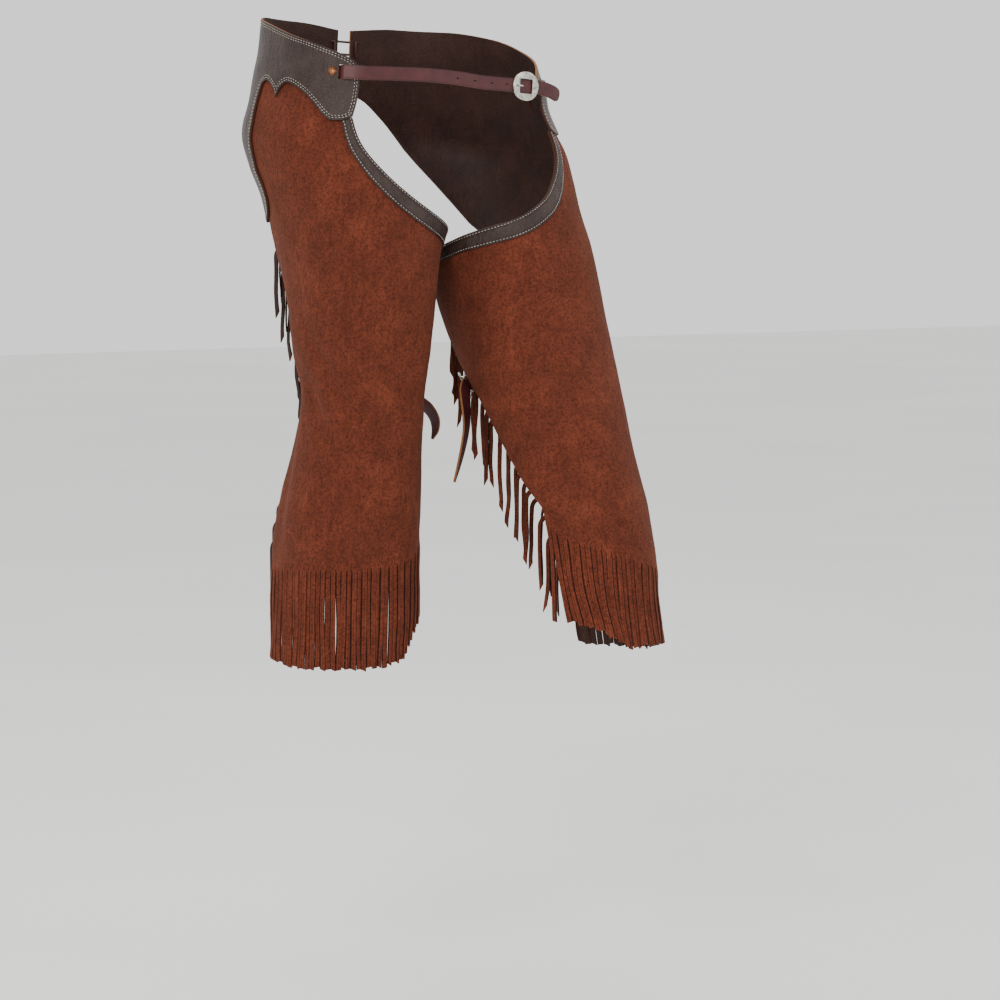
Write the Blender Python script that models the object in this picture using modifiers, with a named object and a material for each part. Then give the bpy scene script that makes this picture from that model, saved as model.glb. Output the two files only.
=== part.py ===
"""Fringed leather chaps, knee length, held in the hollow shape they take when worn.

Metres, +Z up. The wearer faces -Y and the wearer's left is +X. The origin is the centre of
the waist at the height of the front strap. A place on the garment is given by its side, its
turn in degrees from the front towards the outer hip, and its height before the hips tilt.
"""

import math
from bisect import bisect
from collections import namedtuple

import bmesh
import bpy
from mathutils import Matrix, Vector

NAME = "fringed_chaps"

# Leather thicknesses
SUEDE = 0.0020
YOKE_LEATHER = 0.0024
BINDING_LEATHER = 0.0016
STRAP_LEATHER = 0.0026

# Clearances: along a seam, and where one leather lies on another
SEAM = 0.0003
LAP = 0.0012

# Widths and lengths of the cut pieces
TUCK = 0.012
STRAP_WIDTH = 0.016
FRINGE_STRIP = 0.007
HEM_STRANDS = 50
HEM_STRAND_WIDTH = 0.0052
BACK_STRANDS = 34
BACK_STRAND_WIDTH = 0.0052
BACK_STRAND_DROP = 0.072
BACK_STRAND_BEND = 0.013

# Shape of the sections
ROUNDNESS = 2.25
HIP_TILT = 0.06
SIDES = {"right": -1, "left": 1}

Section = namedtuple("Section", "z across forward outer inner front back")
SECTIONS = {
    "right": [
        Section(0.10, 0.000, 0.000, 0.163, 0.163, 0.123, 0.121),
        Section(0.04, 0.000, 0.000, 0.168, 0.168, 0.127, 0.125),
        Section(-0.02, 0.004, 0.001, 0.174, 0.170, 0.131, 0.135),
        Section(-0.07, 0.024, 0.006, 0.164, 0.143, 0.127, 0.149),
        Section(-0.11, 0.048, 0.020, 0.139, 0.114, 0.117, 0.138),
        Section(-0.15, 0.072, 0.038, 0.109, 0.094, 0.106, 0.121),
        Section(-0.19, 0.088, 0.053, 0.092, 0.082, 0.097, 0.110),
        Section(-0.26, 0.096, 0.062, 0.079, 0.078, 0.086, 0.090),
        Section(-0.32, 0.098, 0.062, 0.073, 0.074, 0.078, 0.080),
        Section(-0.375, 0.099, 0.064, 0.065, 0.067, 0.071, 0.069),
        Section(-0.43, 0.100, 0.060, 0.070, 0.068, 0.072, 0.076),
        Section(-0.49, 0.102, 0.054, 0.078, 0.072, 0.076, 0.086),
        Section(-0.55, 0.105, 0.050, 0.082, 0.074, 0.078, 0.091),
        Section(-0.72, 0.107, 0.048, 0.083, 0.075, 0.079, 0.091),
    ],
    "left": [
        Section(0.10, 0.000, 0.000, 0.148, 0.163, 0.123, 0.121),
        Section(0.04, 0.000, 0.000, 0.153, 0.168, 0.127, 0.125),
        Section(-0.02, 0.004, 0.001, 0.169, 0.170, 0.131, 0.135),
        Section(-0.07, 0.024, 0.013, 0.167, 0.146, 0.130, 0.152),
        Section(-0.11, 0.048, 0.031, 0.145, 0.120, 0.123, 0.145),
        Section(-0.15, 0.072, 0.051, 0.118, 0.101, 0.116, 0.129),
        Section(-0.19, 0.090, 0.070, 0.102, 0.093, 0.109, 0.117),
        Section(-0.26, 0.100, 0.096, 0.0935, 0.090, 0.102, 0.106),
        Section(-0.32, 0.102, 0.129, 0.0865, 0.086, 0.093, 0.096),
        Section(-0.375, 0.102, 0.161, 0.083, 0.082, 0.085, 0.084),
        Section(-0.43, 0.103, 0.185, 0.081, 0.078, 0.082, 0.085),
        Section(-0.49, 0.105, 0.205, 0.082, 0.078, 0.082, 0.090),
        Section(-0.55, 0.108, 0.213, 0.084, 0.078, 0.082, 0.094),
        Section(-0.72, 0.110, 0.213, 0.084, 0.078, 0.082, 0.094),
    ],
}

# Soft troughs (negative depth) and ridges pressed into the legs
Fold = namedtuple("Fold", "turn z lean half_turn half_height depth")
FOLDS = {
    "right": [
        Fold(62, -0.350, 45, 10, 0.075, -0.0045),
        Fold(84, -0.385, 60, 12, 0.060, -0.0040),
        Fold(6, -0.400, 5, 13, 0.130, -0.0040),
        Fold(34, -0.300, -20, 16, 0.120, 0.0030),
        Fold(118, -0.470, 10, 12, 0.090, -0.0050),
        Fold(-30, -0.300, 20, 16, 0.080, 0.0030),
    ],
    "left": [
        Fold(-34, -0.330, 30, 15, 0.090, -0.0040),
        Fold(4, -0.430, -10, 18, 0.110, 0.0035),
        Fold(70, -0.330, 15, 14, 0.110, -0.0045),
        Fold(110, -0.450, 10, 13, 0.090, -0.0050),
        Fold(-60, -0.420, 25, 13, 0.060, 0.0030),
    ],
}

# The front arc of a leg panel, from the inner thigh up to the yoke's front corner
Point = namedtuple("Point", "turn z")
ARC = [
    Point(-98, -0.203), Point(-68, -0.187), Point(-34, -0.169), Point(-13, -0.157),
    Point(5, -0.142), Point(18, -0.128), Point(28, -0.114), Point(36, -0.100),
    Point(42, -0.086), Point(46, -0.072), Point(50, -0.0530),
]
# Width of the binding along the arc, by turn
BINDING_WIDTHS = [(-98, 0.0140), (-68, 0.0180), (-34, 0.0212), (5, 0.0215), (28, 0.0185),
                  (42, 0.0150), (50, 0.0120)]
ARC_COLUMNS = 15
PANEL_ROWS = 12
# The panel's corner under the yoke's: its top edge, and the row below
Corner = namedtuple("Corner", "turn z turn_below z_below")
CORNERS = [Corner(50, -0.0530, 54, -0.0578), Corner(56, -0.0475, 58, -0.0583)]

# Turn of the two long edges of each panel, by height
INNER_EDGE = {
    "right": [(-0.207, -98), (-0.24, -106), (-0.28, -110), (-0.33, -108), (-0.375, -102),
              (-0.43, -90), (-0.48, -74), (-0.513, -60)],
    "left": [(-0.207, -98), (-0.24, -110), (-0.27, -117), (-0.31, -121), (-0.34, -116),
             (-0.38, -102), (-0.415, -93), (-0.44, -84), (-0.466, -72), (-0.490, -60)],
}
BACK_EDGE = {
    "right": [(-0.160, 150), (-0.172, 150.5), (-0.20, 158), (-0.25, 166), (-0.32, 170),
              (-0.375, 168), (-0.43, 160), (-0.50, 151), (-0.562, 146)],
    "left": [(-0.160, 150), (-0.172, 150.5), (-0.20, 161), (-0.25, 174), (-0.31, 185),
             (-0.36, 188), (-0.43, 176), (-0.50, 161), (-0.552, 150)],
}
# How far the back of a panel stands off the leg, by height
BACK_FLARE = {
    "right": [(-0.12, 0.0), (-0.19, 0.008), (-0.25, 0.018), (-0.31, 0.020), (-0.36, 0.009),
              (-0.41, 0.001), (-0.57, 0.002)],
    "left": [(-0.12, 0.0), (-0.20, 0.005), (-0.27, 0.011), (-0.33, 0.010), (-0.39, 0.004),
             (-0.46, 0.004), (-0.57, 0.006)],
}
FLARE_SPAN = 30

# Height of the panel's foot, by turn; the fringe hangs below it
HEM = {
    "right": [(-60, -0.513), (-34, -0.536), (-3, -0.545), (24, -0.551), (48, -0.552),
              (94, -0.558), (146, -0.562)],
    "left": [(-60, -0.490), (-48, -0.502), (-18, -0.513), (19, -0.528), (45, -0.536),
             (95, -0.546), (150, -0.552)],
}
# Height of the strand tips, by turn
STRAND_TIPS = {
    "right": [(-60, -0.622), (-42, -0.636), (-24, -0.668), (-13, -0.676), (6, -0.683),
              (40, -0.686), (72, -0.688), (110, -0.684), (146, -0.678)],
    "left": [(-64, -0.617), (-44, -0.620), (-29, -0.627), (-13, -0.636), (1, -0.645),
             (20, -0.642), (46, -0.640), (95, -0.652), (150, -0.655)],
}

# How far the strands' tips are carried aside by the stride
STRAND_LEAN = {"right": (0.0, 0.0, 0.0), "left": (0.005, -0.004, 0.0)}

# The back fringe: strands fan out in turn, and bend over in steps of degrees
FAN_STRANDS = 9
FAN_STEP = 9.5
FAN_START = 12
BENDS = (30, 62, 90)

# The yoke: its top edge, and its lower edge cut in scallops that meet at a cusp
YOKE_TOP = [(50, 0.004), (54, 0.014), (62, 0.024), (76, 0.037), (104, 0.058), (126, 0.065),
            (150, 0.065), (176, 0.060)]
CUSP = 85.3
FRONT_SCALLOP = [(50, -0.052), (54, -0.057), (58, -0.0575), (62, -0.051), (66, -0.040),
                 (73, -0.023), (79.6, -0.015), (83, -0.020), (CUSP, -0.032)]
REAR_SCALLOP = [(CUSP, -0.032), (88, -0.020), (92.7, -0.012), (96, -0.016), (98.8, -0.035),
                (101, -0.062), (105, -0.089), (109.4, -0.118), (114, -0.143), (121, -0.160),
                (130, -0.170), (141, -0.175), (150, -0.172), (153.5, -0.160), (155, -0.120),
                (157, -0.078), (161, -0.045), (168, -0.024), (176, -0.016)]
YOKE_TURNS = (50, 54, 58, 62, 66, 70, 74, 77, 80, 83, CUSP, 88, 90.5, 92.7, 95.5, 97.3, 98.8,
              101, 105, 109.4, 114, 121, 130, 141, 150, 153.5, 155, 157, 161, 168, 172, 176)
YOKE_ROWS = 7
# The part of the yoke's lower edge that is sewn down on the panel
SEWN_FROM = 62
SEWN_TO = 150
YOKE_LIFT = SUEDE + LAP
YOKE_OUTSIDE = YOKE_LIFT + YOKE_LEATHER

# Front strap: the slit it comes through, its hidden end, and its free run to the tip
SLIT_TURN = 57.0
SLIT_WIDTH = 0.0072
STRAP_LEVEL = -0.0015
STRAP_HIDDEN_TURN = 67
Spot = namedtuple("Spot", "x y z")
FRONT_RUN = [
    Spot(-0.1180, -0.1115, 0.0062), Spot(-0.0800, -0.1195, 0.0054),
    Spot(-0.0425, -0.1245, 0.0040), Spot(-0.0045, -0.1262, 0.0008),
    Spot(0.0300, -0.1254, -0.0035), Spot(0.0640, -0.1224, -0.0058),
    Spot(0.0937, -0.1178, -0.0078), Spot(0.1180, -0.1140, -0.0098),
    Spot(0.1340, -0.1120, -0.0130), Spot(0.1500, -0.1065, -0.0195),
]
BUCKLE_X = 0.0937
HOLE_XS = (-0.0050, 0.0190, 0.0435, 0.0655)

# Buckles, all of one pattern: an oval plate with a square window and a heel bar behind
BUCKLE_WIDTH = 0.040
BUCKLE_HEIGHT = 0.034
WINDOW_WIDTH = 0.020
WINDOW_HEIGHT = 0.017
PLATE = 0.0022
WIRE = 0.0012
HEEL_OFFSET = 0.0145
PRONG_RADIUS = 0.0011
PRONG_HOLE = -0.0045
HOLE_RADIUS = 0.0019
# Heights out from the middle of the strap that runs through a buckle
PLATE_LEVEL = STRAP_LEATHER / 2 + SEAM * 2 + PLATE / 2
HEEL_LEVEL = -(STRAP_LEATHER * 1.5 + SEAM * 4 + WIRE)

# Thigh straps: height, the turns of the sewn end, buckle and tab, and the lean of the tail
ThighStrap = namedtuple("ThighStrap", "z sewn buckle tab lean_along lean_out")
THIGH_STRAPS = {
    "right": ThighStrap(-0.372, 148, 236, 270, 0.95, -0.30),
    "left": ThighStrap(-0.352, 158, 226, 260, 0.86, 0.50),
}
THIGH_LIFT = 0.003
# Tail of a thigh strap past the buckle: place from the buckle, share of its twist, width
Tail = namedtuple("Tail", "along out drop twist width")
TAILS = {
    "right": [Tail(0.021, 0.000, 0.000, 0.0, 1.0), Tail(0.029, 0.003, 0.001, 0.15, 1.0),
              Tail(0.038, 0.010, 0.005, 0.45, 1.0), Tail(0.047, 0.017, 0.012, 0.75, 1.0),
              Tail(0.053, 0.022, 0.024, 0.95, 0.9), Tail(0.053, 0.024, 0.037, 1.0, 0.62),
              Tail(0.049, 0.024, 0.048, 1.0, 0.15)],
    "left": [Tail(0.0215, 0.000, 0.000, 0.0, 1.0), Tail(0.028, 0.001, 0.002, 0.12, 1.0),
             Tail(0.0345, 0.002, 0.008, 0.4, 1.0), Tail(0.038, 0.001, 0.019, 0.75, 1.0),
             Tail(0.038, 0.000, 0.033, 0.95, 0.95), Tail(0.035, 0.000, 0.050, 1.0, 0.85),
             Tail(0.031, 0.004, 0.070, 1.0, 0.7), Tail(0.028, 0.010, 0.090, 1.0, 0.45),
             Tail(0.026, 0.016, 0.107, 1.0, 0.12)],
}

# Rivets on each yoke: turn, height, radius
RIVETS = {
    "right": [(60.6, -0.001, 0.0048), (126, 0.044, 0.0036), (126, 0.022, 0.0036)],
    "left": [(126, 0.044, 0.0036), (126, 0.022, 0.0036)],
}
RIVET_HEIGHT = 0.0022

# Centre back lacing: turn and heights of the holes, and how the lace bends through one
LACE_TURN = 171.6
LACE_HEIGHTS = (0.046, 0.031, 0.016, 0.001)
LACE_RADIUS = 0.0014
LACE_BEND = 0.0032
LACE_HOLE = 0.0023


# --- smooth curves through the tables ---

def through(rows):
    """A curve y(x) through rows of (x, y) that never overshoots between them."""
    xs, ys = zip(*sorted((row[0], row[1]) for row in rows))
    steps = [(y1 - y0) / (x1 - x0) for x0, x1, y0, y1 in zip(xs, xs[1:], ys, ys[1:])]
    slopes = [steps[0]]
    for before, after in zip(steps, steps[1:]):
        same_way = before * after > 0
        slopes.append(2 * before * after / (before + after) if same_way else 0.0)
    slopes.append(steps[-1])

    def at(x):
        x = min(max(x, xs[0]), xs[-1])
        i = min(max(bisect(xs, x) - 1, 0), len(xs) - 2)
        span = xs[i + 1] - xs[i]
        t = (x - xs[i]) / span
        start = (2 * t**3 - 3 * t**2 + 1) * ys[i] + (t**3 - 2 * t**2 + t) * span * slopes[i]
        end = (3 * t**2 - 2 * t**3) * ys[i + 1] + (t**3 - t**2) * span * slopes[i + 1]
        return start + end

    return at


def path_through(points, samples=16):
    """A dense smooth path (Catmull-Rom) through 3-D points."""
    points = [Vector(p) for p in points]
    ends = [2 * points[0] - points[1]] + points + [2 * points[-1] - points[-2]]
    path = []
    for p0, p1, p2, p3 in zip(ends, ends[1:], ends[2:], ends[3:]):
        for k in range(samples):
            t = k / samples
            path.append(0.5 * (2 * p1 + (p2 - p0) * t + (2 * p0 - 5 * p1 + 4 * p2 - p3) * t**2
                               + (3 * p1 - p0 - 3 * p2 + p3) * t**3))
    path.append(points[-1])
    return path


def evenly(path, count):
    """Points at equal spacing along a dense path: count steps, so count + 1 points."""
    lengths = [0.0]
    for a, b in zip(path, path[1:]):
        lengths.append(lengths[-1] + (b - a).length)
    spots = []
    for k in range(count + 1):
        target = lengths[-1] * k / count
        i = min(max(bisect(lengths, target) - 1, 0), len(path) - 2)
        step = lengths[i + 1] - lengths[i]
        spots.append(path[i].lerp(path[i + 1], (target - lengths[i]) / step))
    return spots


def mix(a, b, t):
    return a + (b - a) * t


def ease(t):
    t = min(max(t, 0.0), 1.0)
    return t * t * (3 - 2 * t)


# --- the surface the garment lies on ---

class Skin:
    """The inner face of the leather on one side of the body."""

    def __init__(self, side):
        self.side = side
        self.sign = SIDES[side]
        self.column = {name: through([(row.z, getattr(row, name)) for row in SECTIONS[side]])
                       for name in Section._fields[1:]}
        self.inner_edge = through(INNER_EDGE[side])
        self.back_edge = through(BACK_EDGE[side])
        self.flare = through(BACK_FLARE[side])
        self.hem = through(HEM[side])

    def folding(self, turn, z):
        total = 0.0
        for fold in FOLDS[self.side]:
            down = (fold.z - z) / fold.half_height
            aside = (turn - fold.turn + fold.lean * (fold.z - z) / 0.1) / fold.half_turn
            total += fold.depth * math.exp(-down**2 - aside**2)
        return total

    def bare(self, turn, z):
        size = {name: curve(z) for name, curve in self.column.items()}
        s = math.sin(math.radians(turn))
        c = math.cos(math.radians(turn))
        wide = size["outer"] if s >= 0 else size["inner"]
        deep = size["front"] if c >= 0 else size["back"]
        oval = abs(s / wide) ** ROUNDNESS + abs(c / deep) ** ROUNDNESS
        radius = oval ** (-1 / ROUNDNESS) + self.folding(turn, z)
        past = turn - self.back_edge(z)
        if past > -FLARE_SPAN:
            rise = ease(1 + past / FLARE_SPAN)
            radius += self.flare(z) * rise * (1 - ease(past / FLARE_SPAN - 0.4))
        x = self.sign * (size["across"] + radius * s)
        return Vector((x, -(size["forward"] + radius * c), z - HIP_TILT * x))

    def upward(self, turn, z):
        return (self.bare(turn, z + 0.002) - self.bare(turn, z - 0.002)).normalized()

    def onward(self, turn, z):
        """Unit direction of growing turn."""
        return (self.bare(turn + 0.5, z) - self.bare(turn - 0.5, z)).normalized()

    def outward(self, turn, z):
        return (self.onward(turn, z).cross(self.upward(turn, z)) * self.sign).normalized()

    def at(self, turn, z, lift=0.0):
        return self.bare(turn, z) + self.outward(turn, z) * lift

    def beside(self, turn, z, step):
        """The (turn, z) of the place a small step away along the surface."""
        across = self.bare(turn + 0.5, z) - self.bare(turn - 0.5, z)
        up = (self.bare(turn, z + 0.002) - self.bare(turn, z - 0.002)) / 0.004
        aa, ab, bb = across.dot(across), across.dot(up), up.dot(up)
        sa, sb = step.dot(across), step.dot(up)
        whole = aa * bb - ab * ab
        return turn + (sa * bb - sb * ab) / whole, z + (sb * aa - sa * ab) / whole

    def degree(self, turn, z):
        """Metres along the surface for one degree of turn."""
        return (self.bare(turn + 0.5, z) - self.bare(turn - 0.5, z)).length


class Fitting:
    """Axes at a place on a strap: along it, out from the body, and across it."""

    def __init__(self, centre, along, out):
        self.centre = centre
        self.along = along.normalized()
        self.out = (out - self.along * out.dot(self.along)).normalized()
        self.across = self.out.cross(self.along)

    def at(self, along, out, across=0.0):
        return (self.centre + self.along * along + self.out * out + self.across * across)

    def matrix(self, out=0.0):
        place = Matrix((self.along, self.across, self.out)).transposed().to_4x4()
        place.translation = self.at(0.0, out)
        return place


# --- building blocks ---

def leather(name, colour, roughness, metallic=0.0):
    material = bpy.data.materials.new(name)
    material.use_nodes = True
    shader = material.node_tree.nodes["Principled BSDF"]
    shader.inputs["Base Color"].default_value = (*colour, 1.0)
    shader.inputs["Roughness"].default_value = roughness
    shader.inputs["Metallic"].default_value = metallic
    return material


def add_object(name, mesh, material):
    body = bpy.data.objects.new(name, mesh)
    parts.objects.link(body)
    mesh.materials.append(material)
    return body


def sheet(name, columns, rows, place, thickness, offset, material, cut=None, turned=False):
    """A grid laid on the points place(column, row), given its thickness by Solidify."""
    grid = bmesh.new()
    bmesh.ops.create_grid(grid, x_segments=columns, y_segments=rows, size=0.5)
    spots = {}
    for vertex in grid.verts:
        i = round((vertex.co.x + 0.5) * columns)
        j = round((0.5 - vertex.co.y) * rows)
        spots[vertex] = (i, j)
    if cut:
        gone = [face for face in grid.faces
                if cut(min(spots[v][0] for v in face.verts), min(spots[v][1] for v in face.verts))]
        bmesh.ops.delete(grid, geom=gone, context="FACES")
    for vertex in grid.verts:
        vertex.co = place(*spots[vertex])
    if turned:
        bmesh.ops.reverse_faces(grid, faces=grid.faces)
    mesh = bpy.data.meshes.new(name)
    grid.to_mesh(mesh)
    grid.free()
    body = add_object(name, mesh, material)
    shell = body.modifiers.new("Leather", "SOLIDIFY")
    shell.thickness = thickness
    shell.offset = offset
    shell.use_even_offset = offset == 0.0
    return body


def band(name, stations, thickness, material):
    """A strap through stations of (centre, half width vector)."""
    def place(i, j):
        centre, half = stations[i]
        return centre + half if j == 0 else centre - half

    return sheet(name, len(stations) - 1, 1, place, thickness, 0.0, material)


def wire(name, points, radius, material, cyclic=False, roundness=2):
    """A round bar along a list of points."""
    curve = bpy.data.curves.new(name, "CURVE")
    curve.dimensions = "3D"
    spline = curve.splines.new("POLY")
    spline.points.add(len(points) - 1)
    for spot, point in zip(spline.points, points):
        spot.co = (*point, 1.0)
    spline.use_cyclic_u = cyclic
    curve.bevel_depth = radius
    curve.bevel_resolution = roundness
    curve.use_fill_caps = not cyclic
    curve.materials.append(material)
    body = bpy.data.objects.new(name, curve)
    parts.objects.link(body)
    return body


def as_mesh(body):
    """Replace a curve object by a mesh with its caps welded."""
    bpy.context.view_layer.update()
    seen = body.evaluated_get(bpy.context.evaluated_depsgraph_get())
    mesh = bpy.data.meshes.new_from_object(seen)
    weld = bmesh.new()
    weld.from_mesh(mesh)
    bmesh.ops.remove_doubles(weld, verts=weld.verts, dist=0.00001)
    weld.to_mesh(mesh)
    weld.free()
    name = body.name
    place = body.matrix_world.copy()
    bpy.data.objects.remove(body)
    solid = bpy.data.objects.new(name, mesh)
    solid.matrix_world = place
    parts.objects.link(solid)
    return solid


def cut_with(body, cutter):
    tool = body.modifiers.new(cutter.name, "BOOLEAN")
    tool.operation = "DIFFERENCE"
    tool.object = cutter
    hide(cutter)


def join_with(body, other):
    tool = body.modifiers.new(other.name, "BOOLEAN")
    tool.operation = "UNION"
    tool.object = other
    hide(other)


def hide(cutter):
    parts.objects.unlink(cutter)
    cutters.objects.link(cutter)
    cutter.hide_render = True
    cutter.display_type = "WIRE"


def peg(name, centre, axis, radius, length, sides=8):
    """A short cylinder centred on a point."""
    mesh = bpy.data.meshes.new(name)
    shape = bmesh.new()
    bmesh.ops.create_cone(shape, cap_ends=True, segments=sides, radius1=radius,
                          radius2=radius, depth=length)
    shape.to_mesh(mesh)
    shape.free()
    body = bpy.data.objects.new(name, mesh)
    body.rotation_euler = axis.to_track_quat("Z", "Y").to_euler()
    body.location = centre
    parts.objects.link(body)
    return body


# --- the leg panels ---

def yoke_lower(turn):
    return front_scallop(turn) if turn <= CUSP else rear_scallop(turn)


def panel_grid(skin):
    """Rows of (turn, z) from the top edge down to the foot of the panel.

    The first row down is the width of the binding along the front arc. Past the arc the
    top edge is tucked under the yoke and the first row down is the yoke's own lower edge.
    """
    flat = 0.0025
    width = through(BINDING_WIDTHS)
    arc = path_through([(p.turn * flat, p.z, 0.0) for p in ARC])
    top = [(p.x / flat, p.y) for p in evenly(arc, ARC_COLUMNS)][:-1]
    ends = top + [(CORNERS[0].turn, CORNERS[0].z)]
    first = []
    for i, (turn, z) in enumerate(top):
        way = skin.at(*ends[i + 1]) - skin.at(*ends[max(i - 1, 0)])
        down = way.cross(skin.outward(turn, z)).normalized() * skin.sign
        first.append(skin.beside(turn, z, down * width(turn)))
    edge = first[0][1]
    first[0] = (skin.inner_edge(edge), edge)
    for corner in CORNERS:
        top.append((corner.turn, corner.z))
        first.append((corner.turn_below, corner.z_below))
    for turn in YOKE_TURNS:
        if SEWN_FROM <= turn <= SEWN_TO:
            top.append((turn, yoke_lower(turn) + TUCK))
            first.append((turn, yoke_lower(turn)))
    columns = len(top) - 1
    turns = [mix(INNER_EDGE[skin.side][-1][1], BACK_EDGE[skin.side][-1][1], i / columns)
             for i in range(columns + 1)]
    foot = [(turn, skin.hem(turn)) for turn in turns]
    grid = [top, first]
    for j in range(1, PANEL_ROWS):
        t = j / (PANEL_ROWS - 1)
        low = skin.inner_edge(mix(first[0][1], foot[0][1], t))
        high = skin.back_edge(mix(first[-1][1], foot[-1][1], t))
        row = []
        for i in range(columns + 1):
            share = (first[i][0] - first[0][0]) / (first[-1][0] - first[0][0])
            hanging = first[i][0] + (low - first[0][0]) * (1 - share) ** 3
            hanging += (high - first[-1][0]) * share**3
            turn = mix(hanging, mix(low, high, i / columns), t * t)
            row.append((turn, mix(first[i][1], foot[i][1], t)))
        grid.append(row)
    return grid


def leg_panel(skin, grid, material):
    def place(i, j):
        return skin.at(*grid[j][i])

    return sheet(f"leg_panel_{skin.side}", len(grid[0]) - 1, PANEL_ROWS, place, SUEDE, 1.0,
                 material, turned=skin.sign < 0)


def front_binding(skin, grid, material):
    """A strip sewn along the front arc, on the panel's own first row."""
    def place(i, j):
        return skin.at(*grid[j][i], SUEDE + SEAM * 2)

    return sheet(f"front_binding_{skin.side}", ARC_COLUMNS, 1, place, BINDING_LEATHER, 1.0,
                 material, turned=skin.sign < 0)


# --- the yokes ---

def yoke_spot(turn, row):
    """Height of a place on the yoke, by turn and by row down from its top edge."""
    lower = yoke_lower(turn)
    if row >= YOKE_ROWS - 1:
        return lower + TUCK * (YOKE_ROWS - row)
    return mix(yoke_top(turn), lower + TUCK, row / (YOKE_ROWS - 1))


def yoke(skin, material):
    def place(i, j):
        turn = YOKE_TURNS[i]
        return skin.at(turn, yoke_spot(turn, j), YOKE_LIFT)

    return sheet(f"yoke_{skin.side}", len(YOKE_TURNS) - 1, YOKE_ROWS, place, YOKE_LEATHER,
                 1.0, material, turned=skin.sign < 0)


def on_yoke(skin, turn, z, lift):
    """A point over the yoke's flat facets, and the way out from there."""
    i = max(k for k in range(len(YOKE_TURNS) - 1) if YOKE_TURNS[k] <= turn)
    left, right = YOKE_TURNS[i], YOKE_TURNS[i + 1]
    s = (turn - left) / (right - left)
    ends = []
    for side in (left, right):
        j = max(k for k in range(YOKE_ROWS) if k == 0 or yoke_spot(side, k) >= z)
        above, below = yoke_spot(side, j), yoke_spot(side, j + 1)
        t = (above - z) / (above - below)
        ends.append(skin.at(side, above, lift).lerp(skin.at(side, below, lift), t))
    return ends[0].lerp(ends[1], s), skin.outward(turn, z)


# --- the fringe ---

def hem_fringe(skin, material):
    """A narrow strip under the panel's foot, slit into strands that hang from it."""
    side = skin.side
    tips = through(STRAND_TIPS[side])
    first = INNER_EDGE[side][-1][1]
    step = (BACK_EDGE[side][-1][1] - first) / HEM_STRANDS
    lean = Vector(STRAND_LEAN[side])
    middle = SUEDE / 2

    def place(i, j):
        k, right = divmod(i, 2)
        root = first + (k + 0.5) * step
        top = skin.hem(root) - SEAM * 2
        taper = 0.93 if j == 4 else 1.0
        half = HEM_STRAND_WIDTH * taper / skin.degree(root, top) / 2
        if j < 2:
            turn = root + (2 * right - 1) * half
            return skin.at(turn, skin.hem(turn) - SEAM * 2 - FRINGE_STRIP * j, middle)
        t = (j - 1) / 3
        length = tips(root) - top + FRINGE_STRIP
        length *= 1.0 + 0.035 * math.sin(2.4 * k) + 0.02 * math.sin(5.1 * k)
        turn = root + 1.4 * math.sin(0.9 * k) * t * t + (2 * right - 1) * half
        below = top - FRINGE_STRIP + length * t
        spot = skin.at(turn, below, middle + 0.0022 * t * math.sin(1.9 * k))
        return spot + lean * (t * t)

    return sheet(f"hem_fringe_{side}", 2 * HEM_STRANDS - 1, 4, place, SUEDE, 0.0, material,
                 cut=lambda i, j: i % 2 == 1 and j > 0, turned=skin.sign < 0)


def back_fringe(skin, grid, material):
    """Strands that leave the back edge of a panel, bend over and hang."""
    edge = [skin.at(*row[-1], SUEDE / 2) for row in grid[2:]]
    beside = [skin.at(*row[-2], SUEDE / 2) for row in grid[2:]]
    aways = [(a - b).normalized() for a, b in zip(edge, beside)]
    upper = edge[0].z
    lower = edge[-1].z + 0.010
    pitch = (upper - lower) / BACK_STRANDS

    def root(z, reach):
        """A point beside the panel's straight-sided edge, at a height."""
        i = max(k for k in range(len(edge) - 1) if edge[k].z >= z or k == 0)
        t = (edge[i].z - z) / (edge[i].z - edge[i + 1].z)
        away = aways[i].lerp(aways[i + 1], t).normalized()
        return edge[i].lerp(edge[i + 1], t) + away * reach, away

    def place(i, j):
        k, low = divmod(i, 2)
        z = upper - pitch * (k + 0.5)
        half = BACK_STRAND_WIDTH * (0.5 - low)
        if j < 2:
            return root(z + half, mix(SEAM * 2, FRINGE_STRIP, j))[0]
        start, away = root(z, FRINGE_STRIP)
        away = Vector((away.x, away.y, 0.0)).normalized()
        out = away.cross(Vector((0, 0, 1))) * skin.sign
        angle = math.radians(FAN_START + FAN_STEP * (k * 4 % FAN_STRANDS))
        heading = away * math.cos(angle) + out * math.sin(angle)
        bend = math.radians(BENDS[min(j - 2, 2)])
        reach = BACK_STRAND_BEND * (math.sin(bend) if j < 5 else 1.0)
        sink = BACK_STRAND_BEND * (1 - math.cos(bend))
        length = BACK_STRAND_DROP * (1.0 + 0.06 * math.sin(2.2 * k))
        sink += length * max(j - 4, 0) / 2
        centre = start + heading * reach - Vector((0, 0, sink))
        across = heading * math.sin(bend) + Vector((0, 0, math.cos(bend)))
        return centre + across * half * (0.9 if j == 6 else 1.0)

    return sheet(f"back_fringe_{skin.side}", 2 * BACK_STRANDS - 1, 6, place, SUEDE * 0.8, 0.0,
                 material, cut=lambda i, j: i % 2 == 1 and j > 0, turned=skin.sign < 0)


# --- buckles ---

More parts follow.
